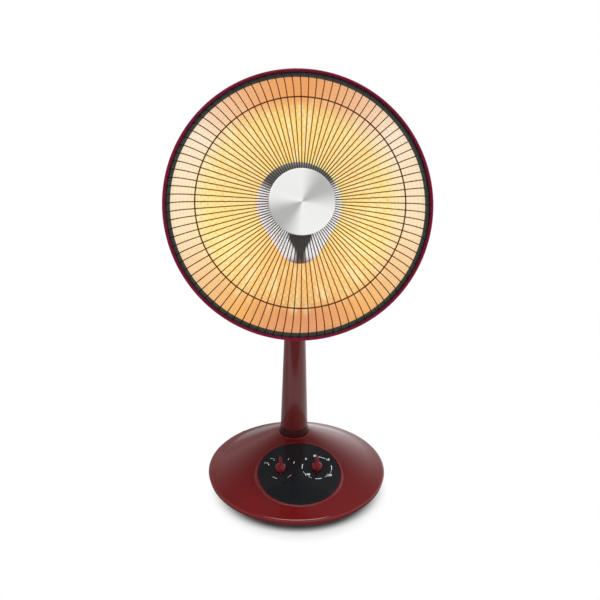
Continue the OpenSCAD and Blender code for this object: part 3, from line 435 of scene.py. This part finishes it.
IRON = metal("cast_iron_skin", (0.16, 0.16, 0.17), (0.08, 0.08, 0.085), 0.6, scale=160.0, strength=0.7)
RUBBER = grained_plastic("soft_rubber", srgb(24, 24, 24), srgb(38, 38, 38), rough=0.72, grain=0.5)
NYLON = grained_plastic("natural_nylon", srgb(222, 217, 200), srgb(236, 232, 220), rough=0.45, grain=0.1)
CERAMIC = grained_plastic("steatite", srgb(214, 208, 194), srgb(232, 228, 216), rough=0.6, grain=0.3)
GLOW, SPUN, MIRROR = reflector_glow(), spun_aluminium(), shield_mirror()
PRESSED_BACK = metal("pressed_back", (0.50, 0.50, 0.51), (0.36, 0.36, 0.37), 0.42, scale=200.0)
QUARTZ, COIL, PRINT = quartz_glass(), hot_coil(), dial_print()

CAD_FINISH = {
    "base_cover": RED, "base_plate": BLACK_STEEL, "ballast_ring": IRON, "rubber_feet": RUBBER,
    "base_screws": STEEL, "control_panel": PANEL_BLACK, "power_switch": NYLON, "timer_body": STEEL,
    "tip_switch": SHOULDER, "tip_plunger": NYLON, "cord_gland": RUBBER, "terminal_block": NYLON,
    "upper_bush": NYLON, "lower_bearing": NYLON, "osc_motor": STEEL, "crank": BRASS, "link_rod": STEEL,
    "swing_lever": STEEL, "lever_pin": BRASS, "retaining_ring": STEEL, "power_knob": KNOB_RED,
    "power_spindle": STEEL, "timer_knob": KNOB_RED, "timer_spindle": STEEL, "column_collar": COLUMN_RED_SHADED,
    "column_shell": COLUMN_RED_SHADED, "stand_pipe": TURNED_STEEL, "neck_fork": SHOULDER, "tilt_bolt": STEEL,
    "tilt_nut": STEEL, "tilt_knuckle": SHOULDER, "knuckle_screws": STEEL, "rear_shell": SHOULDER,
    "terminal_cover": SHOULDER, "cover_screws": STEEL, "reflector": GLOW, "reflector_spacers": STEEL,
    "thermal_cutout": STEEL, "rim_ring": CRIMSON, "guard_wires": WIRE, "guard_rings": WIRE,
    "hub_badge": SPUN, "hub_backplate": STEEL, "hub_screw": STEEL, "ring_lamp": QUARTZ,
    "filament": COIL, "lamp_caps": CERAMIC, "lamp_bracket": STEEL, "lamp_clips": STEEL,
    "shield": MIRROR, "shield_post": STEEL, "shield_nuts": STEEL,
}
for name, finish in CAD_FINISH.items():
    mesh = nodes[name].data
    mesh.materials.clear()
    mesh.materials.append(finish)


# Mesh tools
def add_object(name, data):
    made = bpy.data.objects.new(name, data)
    bpy.context.scene.collection.objects.link(made)
    return made


def piece(name, shape, finish, body, place=WORLD, stands_for=(), sharp=32):
    """An object from (corners in millimetres, faces), set in its frame and riding on a body."""
    corners, faces = shape
    mesh = bpy.data.meshes.new(name)
    mesh.from_pydata([place @ (Vector(corner) * MM) for corner in corners], [], faces)
    work = bmesh.new()
    work.from_mesh(mesh)
    bmesh.ops.remove_doubles(work, verts=work.verts, dist=WELD)
    bmesh.ops.recalc_face_normals(work, faces=work.faces)
    work.to_mesh(mesh)
    work.free()
    mesh.shade_smooth()
    mesh.set_sharp_from_angle(angle=math.radians(sharp))
    mesh.materials.append(finish)
    made = add_object(name, mesh)
    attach(made, body)
    if stands_for:
        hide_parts(*stands_for)
    return made


def merge(*shapes):
    corners, faces = [], []
    for more_corners, more_faces in shapes:
        start = len(corners)
        corners += list(more_corners)
        faces += [tuple(start + index for index in face) for face in more_faces]
    return corners, faces


def skin(rows, closed=False):
    """Faces between rows of points that each close on themselves."""
    count = len(rows[0])
    corners = [point for row in rows for point in row]
    faces = []
    for i in range(len(rows) if closed else len(rows) - 1):
        here, there = i * count, ((i + 1) % len(rows)) * count
        for j in range(count):
            k = (j + 1) % count
            faces.append((here + j, here + k, there + k, there + j))
    return corners, faces


def capped(rows):
    """The skin between rows, with its two ends closed."""
    corners, faces = skin(rows)
    count = len(rows[0])
    last = len(corners) - count
    return corners, faces + [tuple(range(count)), tuple(range(last, last + count))]


def rounded(start, corner, end, steps):
    """Points on the curve that rounds off a corner."""
    shares = (step / steps for step in range(steps + 1))
    return [tuple((1 - t) ** 2 * start + 2 * t * (1 - t) * corner + t ** 2 * end) for t in shares]


def soften(points, steps=6):
    """A closed outline of (across, up, rounding) with its corners rounded."""
    outline = []
    for i, point in enumerate(points):
        corner, rounding = Vector(point[:2]), point[2] if len(point) > 2 else 0.0
        if not rounding:
            outline.append(tuple(corner))
            continue
        before = Vector(points[i - 1][:2]) - corner
        after = Vector(points[(i + 1) % len(points)][:2]) - corner
        reach = min(rounding, before.length * 0.49, after.length * 0.49)
        start, end = corner + before.normalized() * reach, corner + after.normalized() * reach
        outline += rounded(start, corner, end, steps)
    return outline


def ring(radius, height, sides, x=0.0, y=0.0):
    """Points on a level circle round (x, y)."""
    return [(x + radius * math.cos(a), y + radius * math.sin(a), height)
            for a in (2 * math.pi * i / sides for i in range(sides))]


def turned(outline, sides=160):
    """A closed outline of (radius, height) turned round the up axis."""
    return skin([ring(max(radius, 0.0), height, sides) for radius, height in outline], closed=True)


def moved(shape, matrix):
    """The shape carried into another frame; the frame's own place is in metres."""
    corners, faces = shape
    return [tuple(matrix @ (Vector(corner) * MM) / MM) for corner in corners], faces


# Base cover
def dome_row(share, inset, sides):
    """The dome's skin at a share of the way from its crease up to the column's foot."""
    height = CREASE_Z + (FOOT_Z - CREASE_Z) * (share + DOME_BULGE * share * (1 - share)) - inset
    radius = CREASE_R + (FOOT_R - CREASE_R) * share - inset
    return ring(radius, height, sides, y=FOOT_Y * share)


def sink_under_panel(rows, depth):
    """Lowers the skin where the panel's boss stands on it."""
    into = PANEL.inverted()
    for row in rows:
        for j, point in enumerate(row):
            seen = into @ (Vector(point) * MM) / MM
            if math.hypot(seen.x, seen.y) < SINK_R and seen.z > -depth:
                seen.z = -depth
                row[j] = tuple(PANEL @ (seen * MM) / MM)
    return rows


def cover_shape(sides=360, steps=90):
    """The cover's skin, from the bush round the column's foot out to the skirt and back inside."""
    lip = [(BUSH_R, FOOT_Z - COVER_WALL), (BUSH_R, FOOT_Z)]
    lip += [(LIP_R + LIP_W / 2 - LIP_W / 2 * math.cos(a), FOOT_Z + LIP_H * math.sin(a))
            for a in (math.pi * i / 12 for i in range(13))]
    rim = [(BASE_R - 3.6, RIM_Z + 0.38), (BASE_R - 2.0, RIM_Z - 0.1), (BASE_R - 1.0, RIM_Z - 0.7),
           (BASE_R - 0.3, RIM_Z - 1.5), (BASE_R, SKIRT_TOP_Z), (BASE_R - 0.3, SKIRT_TOP_Z - 1.6),
           (BASE_R - 1.1, SKIRT_TOP_Z - 5.0), (SKIRT_LOW_R, COVER_LOW_Z + 0.5),
           (SKIRT_LOW_R - 0.5, COVER_LOW_Z), (SKIRT_LOW_R - 2.1, COVER_LOW_Z)]
    inner = [(SKIRT_LOW_R - COVER_WALL, COVER_LOW_Z + 0.5), (BASE_R - COVER_WALL, SKIRT_TOP_Z - 0.6),
             (BASE_R - 5.0, SKIRT_TOP_Z + 0.2), (CREASE_R - 2.0, CREASE_Z - COVER_WALL)]
    dome_foot = dome_row(CREASE_STEPS / steps, 0.0, sides)
    crease = ring(CREASE_R, CREASE_Z + CREASE_FILL, sides)
    rim_top = ring(BASE_R - 4.6, RIM_Z + 0.62, sides)
    bends = [rounded(Vector(start), Vector(corner), Vector(end), 8)
             for start, corner, end in zip(dome_foot, crease, rim_top)]
    outer = [ring(r, z, sides, y=FOOT_Y) for r, z in lip]
    outer += [dome_row(1 - i / steps, 0.0, sides) for i in range(steps - CREASE_STEPS)]
    outer += [list(row) for row in zip(*bends)]
    outer += [ring(r, z, sides) for r, z in rim]
    under = [ring(r, z, sides) for r, z in inner]
    under += [dome_row(i / steps, COVER_WALL, sides) for i in range(2, steps + 1)]
    return skin(sink_under_panel(outer, SINK_TOP) + sink_under_panel(under, SINK_UNDER), closed=True)


def boss_shape():
    """The ring that carries the panel, with a ledge under the panel's edge."""
    top_r, fit_r = PANEL_R + BOSS_W, PANEL_R + BOSS_FIT
    ledge_r, ledge_z = PANEL_R - LEDGE_W, -PANEL_T - LEDGE_GAP
    return turned(soften([(top_r + BOSS_FLARE, -BOSS_DROP), (top_r, BOSS_LIP, 0.9), (fit_r, BOSS_LIP, 0.3),
                          (fit_r, ledge_z), (ledge_r, ledge_z), (ledge_r, -PANEL_T - LEDGE_T),
                          (PANEL_R, -BOSS_DROP)]), sides=240)


piece("base_shell", merge(cover_shape(), moved(boss_shape(), PANEL)), RED, "base",
      stands_for=["base_cover"], sharp=50)


def panel_shape(sides=240, hole_sides=48):
    """The round panel with its two spindle holes and a small round on its front edge."""
    edge = [(PANEL_R - 0.4, 0.0), (PANEL_R - 0.12, -0.08), (PANEL_R, -0.35), (PANEL_R, -PANEL_T)]
    walls, flats = [skin([ring(r, z, sides) for r, z in edge])], []
    for x in (-KNOB_X, KNOB_X):
        walls.append(skin([ring(PANEL_HOLE_R, z, hole_sides, x, KNOB_UP) for z in (0.0, -PANEL_T)]))
    for radius, z in (edge[0], edge[-1]):
        loops = [ring(radius, z, sides)]
        loops += [ring(PANEL_HOLE_R, z, hole_sides, x, KNOB_UP) for x in (-KNOB_X, KNOB_X)]
        triangles = tessellate_polygon([[Vector(point) for point in loop] for loop in loops])
        flats.append(([point for loop in loops for point in loop], [tuple(face) for face in triangles]))
    return merge(*walls, *flats)


piece("panel_disc", panel_shape(), PANEL_BLACK, "base", PANEL, ["control_panel"])


# Knobs
def knob_body():
    """Round body with a spherical crown and the bore for its spindle."""
    radius = KNOB_W / 2
    side_h = KNOB_BODY_H - CROWN_R + math.sqrt(CROWN_R ** 2 - radius ** 2)
    outline = [(KNOB_BORE_R, 0.0), (radius - 0.3, 0.0), (radius, 0.3), (radius, side_h - 0.4)]
    for i in range(1, CROWN_STEPS + 1):
        r = (radius - 0.15) * (1 - i / CROWN_STEPS)
        outline.append((r, KNOB_BODY_H - CROWN_R + math.sqrt(CROWN_R ** 2 - r ** 2)))
    return turned(outline + [(0.0, KNOB_BORE_H), (KNOB_BORE_R, KNOB_BORE_H)], 96)


def blade_half(y):
    """Half the blade's width at a distance along it: two arcs that meet in a point at each end."""
    half, length = BLADE_T / 2, KNOB_LEN / 2
    arc = (half ** 2 + length ** 2) / (2 * half)
    return max(math.sqrt(arc ** 2 - y ** 2) - arc + half, BLADE_POINT)


def knob_blade(steps=40, round_steps=6):
    """Tall finger blade, pointed at both ends in plan, with its top edges rounded."""
    rows = []
    for i in range(steps + 1):
        y = KNOB_LEN / 2 * math.sin(math.pi * (i / steps - 0.5))
        wide = blade_half(y)
        top = KNOB_H - KNOB_LIFT - BLADE_R + math.sqrt(BLADE_R ** 2 - y ** 2)
        turn = min(BLADE_ROUND, wide * 0.9)
        side = [(wide, KNOB_BORE_H)]
        side += [(wide - turn + turn * math.cos(a), top - turn + turn * math.sin(a))
                 for a in (math.pi / 2 * k / round_steps for k in range(round_steps + 1))]
        rows.append([(x, y, z) for x, z in side] + [(-x, y, z) for x, z in reversed(side)])
    return capped(rows)


def knob_foot_blade(end, steps=40):
    """The blade's low part beside the round body, at one end, down to the panel."""
    near = KNOB_BORE_R + BLADE_GAP
    rows = []
    for i in range(steps + 1):
        y = end * (near + (KNOB_LEN / 2 - near) * math.sin(math.pi / 2 * i / steps))
        wide = blade_half(y)
        rows.append([(wide, y, 0.0), (wide, y, KNOB_BORE_H), (-wide, y, KNOB_BORE_H), (-wide, y, 0.0)])
    return capped(rows)


for side, node in ((-1, "power_knob"), (1, "timer_knob")):
    spot = PANEL @ Matrix.Translation((side * KNOB_X * MM, KNOB_UP * MM, KNOB_LIFT * MM))
    piece(f"{node}_cap", merge(knob_body(), knob_blade(), knob_foot_blade(-1), knob_foot_blade(1)), KNOB_RED,
          node, spot, [node], sharp=40)


# Dial marks
def arc_mark(radius, start, end, width, steps=10):
    """A flat printed arc; angles in degrees clockwise from up."""
    near, far = radius - width / 2, radius + width / 2
    rows = []
    for i in range(steps + 1):
        a = math.radians(start + (end - start) * i / steps)
        rows.append([(r * math.sin(a), r * math.cos(a), z)
                     for r, z in ((near, MARK_Z), (far, MARK_Z), (far, MARK_TALL), (near, MARK_TALL))])
    return capped(rows)


def bar_mark(start, end, width):
    """A flat printed bar between two points."""
    along = (Vector(end) - Vector(start)).normalized() * width / 2
    across = Vector((-along.y, along.x))
    plan = [Vector(start) - across, Vector(end) - across, Vector(end) + across, Vector(start) + across]
    return capped([[(*point, z) for point in plan] for z in (MARK_Z, MARK_TALL)])


def figure(text, size, x, y):
    """A plain printed figure as a flat solid round (x, y)."""
    curve = bpy.data.curves.new("figure", "FONT")
    curve.body, curve.size, curve.align_x, curve.align_y = text, size * MM, "CENTER", "CENTER"
    curve.extrude, curve.offset = FIGURE_HALF_T * MM, FIGURE_BOLD * MM
    holder = add_object("figure", curve)
    bpy.context.view_layer.update()
    mesh = holder.to_mesh()
    corners = [vertex.co / MM for vertex in mesh.vertices]
    faces = [tuple(face.vertices) for face in mesh.polygons]
    holder.to_mesh_clear()
    bpy.data.objects.remove(holder)
    return [(corner.x + x, corner.y + y, corner.z + FIGURE_Z) for corner in corners], faces


timer_marks = [figure(text, 5.4, x, y) for text, x, y in (
    ("0", -15.1, 18.7), ("30", -0.4, 24.4), ("60", 18.2, 15.4), ("120", 17.0, -16.4), ("180", -15.6, -13.4))]
timer_marks += [arc_mark(22.5, start, end, width) for start, end, width in (
    (12, 40, 0.8), (82, 106, 0.9), (166, 190, 0.6), (268, 292, 0.9), (112, 122, 0.4), (144, 154, 0.4),
    (206, 220, 0.4), (240, 252, 0.5))]
power_marks = [bar_mark((-14.5, 22.6), (-7.9, 22.4), 0.4), bar_mark((-24.3, 13.8), (-17.0, 13.6), 0.4),
               figure("1", 3.4, -8.4, 19.0), figure("2", 3.4, -17.4, 10.3),
               bar_mark((12.9, 18.4), (14.9, 21.4), 0.5), bar_mark((20.8, 10.2), (22.8, 14.6), 0.6),
               arc_mark(19.6, 198, 221, 0.35), arc_mark(19.8, 130, 152, 0.35)]
for side, marks, name in ((1, timer_marks, "timer_marks"), (-1, power_marks, "power_marks")):
    piece(name, merge(*marks), PRINT, "base",
          PANEL @ Matrix.Translation((side * KNOB_X * MM, KNOB_UP * MM, 0)))


# Cord gland: a rubber grommet with a low, rounded face
piece("cord_grommet", turned(soften([
    (GLAND_BORE_R, -GLAND_DEEP), (GLAND_R, -GLAND_DEEP, 0.3), (GLAND_R, -1.2), (GLAND_R + 0.3, -1.2),
    (GLAND_R + 0.3, 0.5, 0.4), (GLAND_BORE_R, 0.5, 0.4)]), 64),
    RUBBER, "base", GLAND, ["cord_gland"])


# Column
piece("column_foot", turned(soften([
    (RECESS_R, COLLAR_LOW), (COLLAR_R, COLLAR_LOW, 0.8), (COLLAR_R, COLLAR_LOW + COLLAR_STRAIGHT, 3.0),
    (COLUMN_LOW_R + 0.1, COLLAR_TOP, 0.2), (SPIGOT_R, COLLAR_TOP), (SPIGOT_R, COLLAR_TOP + SPIGOT_H),
    (PIPE_R, COLLAR_TOP + SPIGOT_H), (PIPE_R, COLLAR_LOW + RECESS_H), (RECESS_R, COLLAR_LOW + RECESS_H)])),
    COLLAR_RED_SHADED, "column", COLUMN, ["column_collar"])
piece("column_tube", turned(soften([
    (COLUMN_LOW_R - COLUMN_WALL, COLUMN_LOW), (COLUMN_LOW_R, COLUMN_LOW, 0.15),
    (COLUMN_HIGH_R, COLUMN_TOP, 0.5), (COLUMN_HIGH_R - COLUMN_WALL, COLUMN_TOP)])),
    COLUMN_RED_SHADED, "column", COLUMN, ["column_shell"])


# Reflector
def bowl_z(radius):
    return VERTEX_Z + REFLECTOR_DEPTH * (radius / REFLECTOR_R) ** 2


def reflector_shape(steps=56, sides=216):
    front = [REFLECTOR_HOLE_R + (REFLECTOR_R - REFLECTOR_HOLE_R) * i / steps for i in range(steps + 1)]
    edge_r, edge_z = REFLECTOR_R + REFLECTOR_LIP, bowl_z(REFLECTOR_R)
    outline = [(r, bowl_z(r)) for r in front] + [(edge_r, edge_z), (edge_r, edge_z - REFLECTOR_T)]
    outline += [(r, bowl_z(r) - REFLECTOR_T) for r in reversed(front)]
    return turned(outline, sides)


bowl = piece("reflector_bowl", reflector_shape(), GLOW, "head", HEAD, ["reflector"], sharp=40)
bowl.data.materials.append(PRESSED_BACK)
forward = HEAD.to_3x3() @ Vector((0, 0, 1))
for face in bowl.data.polygons:
    if face.normal.dot(forward) < FRONT_FACING:
        face.material_index = 1


# Hub and shield
def hub_shape(steps=30):
    """A shallow cap with a slightly domed face and a thin wall turned back at its edge."""
    low, flat_r = HUB_RISE + WIRE_R + HUB_GAP, HUB_R - HUB_EDGE
    rim = [(HUB_R - HUB_WALL, low), (HUB_R - HUB_WALL, low - 0.3), (HUB_R, low - 0.3), (HUB_R, low + 1.2),
           (HUB_R - 0.3, low + 1.8)]
    face = [(r, low + HUB_T + HUB_CROWN * (1 - (r / HUB_R) ** 2))
            for r in (flat_r - i * flat_r / steps for i in range(steps))]
    return turned([(0.0, low)] + rim + face + [(0.0, low + HUB_T + HUB_CROWN)])


piece("hub_disc", hub_shape(), SPUN, "head", HEAD, ["hub_badge"])


def shield_reach(angle):
    """Distance from the large end's centre to the shield's outline, at an angle from +X."""
    tangent = math.asin((SHIELD_R - SHIELD_TIP_R) / SHIELD_LEN)
    round_part = 180 + 2 * math.degrees(tangent)
    if (math.degrees(angle) + math.degrees(tangent)) % 360 <= round_part:
        return SHIELD_R
    direction = Vector((math.cos(angle), math.sin(angle)))
    mirrored = Vector((abs(direction.x), direction.y))
    touch = math.atan2(-SHIELD_LEN - SHIELD_TIP_R * math.sin(tangent), SHIELD_TIP_R * math.cos(tangent))
    if math.atan2(mirrored.y, mirrored.x) > touch:
        return SHIELD_R / mirrored.dot(Vector((math.cos(tangent), -math.sin(tangent))))
    centre = Vector((0, -SHIELD_LEN))
    along = direction.dot(centre)
    return along + math.sqrt(along ** 2 - (centre.length_squared - SHIELD_TIP_R ** 2))


def shield_shape(sides=180, rings=26):
    """A crowned sheet from a small hole at its middle to its outline, with the edge turned down."""
    front, back = [], []
    for i in range(rings + 1):
        share = SHIELD_HOLE + (1 - SHIELD_HOLE) * i / rings
        drop = SHIELD_EDGE_DROP * max(0.0, (share - SHIELD_EDGE) / (1 - SHIELD_EDGE)) ** 2
        front.append([])
        back.append([])
        for j in range(sides):
            angle = 2 * math.pi * j / sides
            reach = shield_reach(angle) * share
            x, y = reach * math.cos(angle), reach * math.sin(angle)
            z = SHIELD_RISE - SHIELD_CROWN_R + math.sqrt(SHIELD_CROWN_R ** 2 - reach ** 2) - drop
            front[-1].append((x, y, z))
            back[-1].append((x, y, z - SHIELD_T))
    return skin(front + back[::-1], closed=True)


piece("lamp_shield", shield_shape(), MIRROR, "head", HEAD, ["shield"])


# Coil in the lamp
def coil_shape(turns=150, sides=6, per_turn=10, coil_r=2.6, wire=0.45):
    start, sweep = 270 + LAMP_OPEN, 360 - 2 * LAMP_OPEN
    total = turns * per_turn
    points = []
    for i in range(total + 1):
        around = math.radians(start + sweep * i / total)
        spin = 2 * math.pi * i / per_turn
        radius = LAMP_R + coil_r * math.cos(spin)
        points.append(Vector((radius * math.cos(around), radius * math.sin(around),
                              -LAMP_BACK + coil_r * math.sin(spin))))
    rows = []
    for i, point in enumerate(points):
        ahead = (points[min(i + 1, total)] - points[max(i - 1, 0)]).normalized()
        side = ahead.cross(Vector((0, 0, 1))).normalized()
        up = side.cross(ahead)
        rows.append([tuple(point + wire * (math.cos(a) * side + math.sin(a) * up))
                     for a in (2 * math.pi * k / sides for k in range(sides))])
    return capped(rows)


piece("lamp_coil", coil_shape(), COIL, "head", HEAD, ["filament"])


# Camera, floor and light
PHOTO_SIZE, FOCAL_PX, SENSOR = 600, 1060, 36
VIEW_UP, VIEW_SIDE, VIEW_ROLL = math.radians(25.28), math.radians(5.22), math.radians(-0.63)
VIEW_DISTANCE, AIM_X, AIM_Z = 1540.8, 2.64, 303.25
# The floor's shaded patch: its middle, and the distances over which it turns white
SHADOW_Y, SHADOW_END = -0.035, (0.100, 0.140)
# Distances from the base's middle over which the painted contact shadow ends and the mirrored floor's painted
# shade clears, and how far forward the mirrored floor turns dark again as a painted dark reflection
CONTACT_END, MIRROR_START, MIRROR_FRONT_END = (0.136, 0.152), (0.135, 0.168), (0.24, 0.34)
# The mirrored floor's brightness in front, behind on the left, what the right adds to that,
# its share lost far forward, and its level where it is dark
MIRROR_FRONT, MIRROR_LEFT, MIRROR_RIGHT, MIRROR_FADE, MIRROR_DARK = 0.62, 0.34, 0.46, 0.9, 0.06
# The floor's greys: the painted contact shadow, the shaded patch that catches the heater's real shadow, and
# for light that bounces off it
FLOOR_GREYS, FLOOR_SIZE = (0.16, 0.6, 0.9), 12.0


def add_camera():
    back = Vector((-math.sin(VIEW_SIDE) * math.cos(VIEW_UP), -math.cos(VIEW_SIDE) * math.cos(VIEW_UP),
                   math.sin(VIEW_UP)))
    right = Vector((math.cos(VIEW_SIDE), -math.sin(VIEW_SIDE), 0))
    up = back.cross(right)
    level = right * math.cos(VIEW_ROLL) - up * math.sin(VIEW_ROLL)
    upright = right * math.sin(VIEW_ROLL) + up * math.cos(VIEW_ROLL)
    spot = (right * AIM_X + Vector((0, 0, AIM_Z)) + back * VIEW_DISTANCE) * MM
    lens = bpy.data.cameras.new("camera")
    lens.sensor_width, lens.lens = SENSOR, SENSOR * FOCAL_PX / PHOTO_SIZE
    camera = add_object("camera", lens)
    turn = Matrix((level, upright, back)).transposed().to_4x4()
    camera.matrix_world = Matrix.Translation(spot) @ turn
    bpy.context.scene.camera = camera


def add_floor():
    """Pale floor that keeps the heater's own soft shadow, adds a painted contact shadow at the base's edge,
    and turns white round it.
    """
    paint = Paint("floor_white")
    x, y = paint.axis("X"), paint.axis("Y")
    centre = (x * x + y * y) ** 0.5
    away = (x * x + (y - SHADOW_Y) * (y - SHADOW_Y)) ** 0.5
    front = (-y).ease(0.0, 0.1)
    right = (x / (centre + NEVER_ZERO)).ease(*RIGHT_SIDE)
    bright = front * MIRROR_FRONT + (1.0 - front) * (MIRROR_LEFT + MIRROR_RIGHT * right)
    nearby = 1.0 - MIRROR_FADE * (-y).ease(*MIRROR_FRONT_END)
    dark, white = (paint.plain("ShaderNodeEmission", level) for level in (MIRROR_DARK, 1.0))
    deep, soft, pale = (paint.plain("ShaderNodeBsdfDiffuse", level) for level in FLOOR_GREYS)
    # The deep grey is a painted contact shadow under the base's edge
    shaded = paint.blend(centre.ease(*CONTACT_END), deep, soft)
    seen = paint.blend(away.ease(*SHADOW_END), shaded, white)
    # In reflections the floor is painted dark near the base and far forward, as painted shade
    mirrored = paint.blend(centre.ease(*MIRROR_START) * nearby * bright, dark, white)
    in_gloss = paint.ray("Glossy").math("MAXIMUM", paint.ray("Transmission"))
    surface = paint.blend(in_gloss, paint.blend(paint.ray("Camera"), pale, seen), mirrored)
    paint.node("ShaderNodeOutputMaterial", {"Surface": surface})
    mesh = bpy.data.meshes.new("floor")
    mesh.from_pydata([(x * FLOOR_SIZE, y * FLOOR_SIZE, 0) for x, y in ((-1, -1), (1, -1), (1, 1), (-1, 1))],
                     [], [(0, 1, 2, 3)])
    mesh.materials.append(paint.material)
    floor = add_object("floor", mesh)


def add_light(name, spot, aim_z, size, power, mirrored=False):
    lamp = bpy.data.lights.new(name, "AREA")
    lamp.energy, lamp.size = power, size
    made = add_object(name, lamp)
    made.location = spot
    made.rotation_mode = "QUATERNION"
    made.rotation_quaternion = (Vector((0, 0, aim_z)) - Vector(spot)).to_track_quat("-Z", "Y")
    made.visible_glossy = mirrored


def add_world():
    """Plain studio: bright low down on the right, dimmer on the left and overhead; white to the camera."""
    world = bpy.data.worlds.new("studio")
    bpy.context.scene.world = world
    world.use_nodes = True
    paint = Paint.around(world.node_tree)
    place = paint.node("ShaderNodeTexCoord", out="Generated")
    x, z = (paint.node("ShaderNodeSeparateXYZ", {"Vector": place}, out=name) for name in "XZ")
    dim, bright = (paint.ramp(z, [(height, grey(level)) for height, level in levels]) for levels in (
        ((0.0, 0.26), (0.25, 0.30), (0.34, 0.44), (0.43, 0.42), (0.59, 0.28), (0.72, 0.12)),
        ((0.0, 0.92), (0.15, 0.92), (0.3, 0.78), (0.43, 0.62), (0.58, 0.32), (0.68, 0.16))))
    studio = paint.node("ShaderNodeBackground", {"Color": paint.mix(x.ease(*RIGHT_SIDE), dim, bright)})
    surface = paint.blend(paint.ray("Camera"), studio, paint.plain("ShaderNodeBackground", 1.0))
    paint.node("ShaderNodeOutputWorld", {"Surface": surface})


add_camera()
add_floor()
add_world()
add_light("overhead", (0.0, -0.1, 2.2), 0.1, 1.4, 24, mirrored=True)
add_light("rear_left", (-1.5, 1.2, 1.9), 0.1, 1.0, 24)
add_light("rear_right", (1.5, 1.2, 1.9), 0.1, 1.0, 24)
add_light("front_left", (-1.5, -1.9, 0.6), 0.4, 1.0, 20)
add_light("front_right", (1.6, -1.8, 0.55), 0.4, 1.0, 17)
bpy.context.scene.view_settings.view_transform = "Standard"
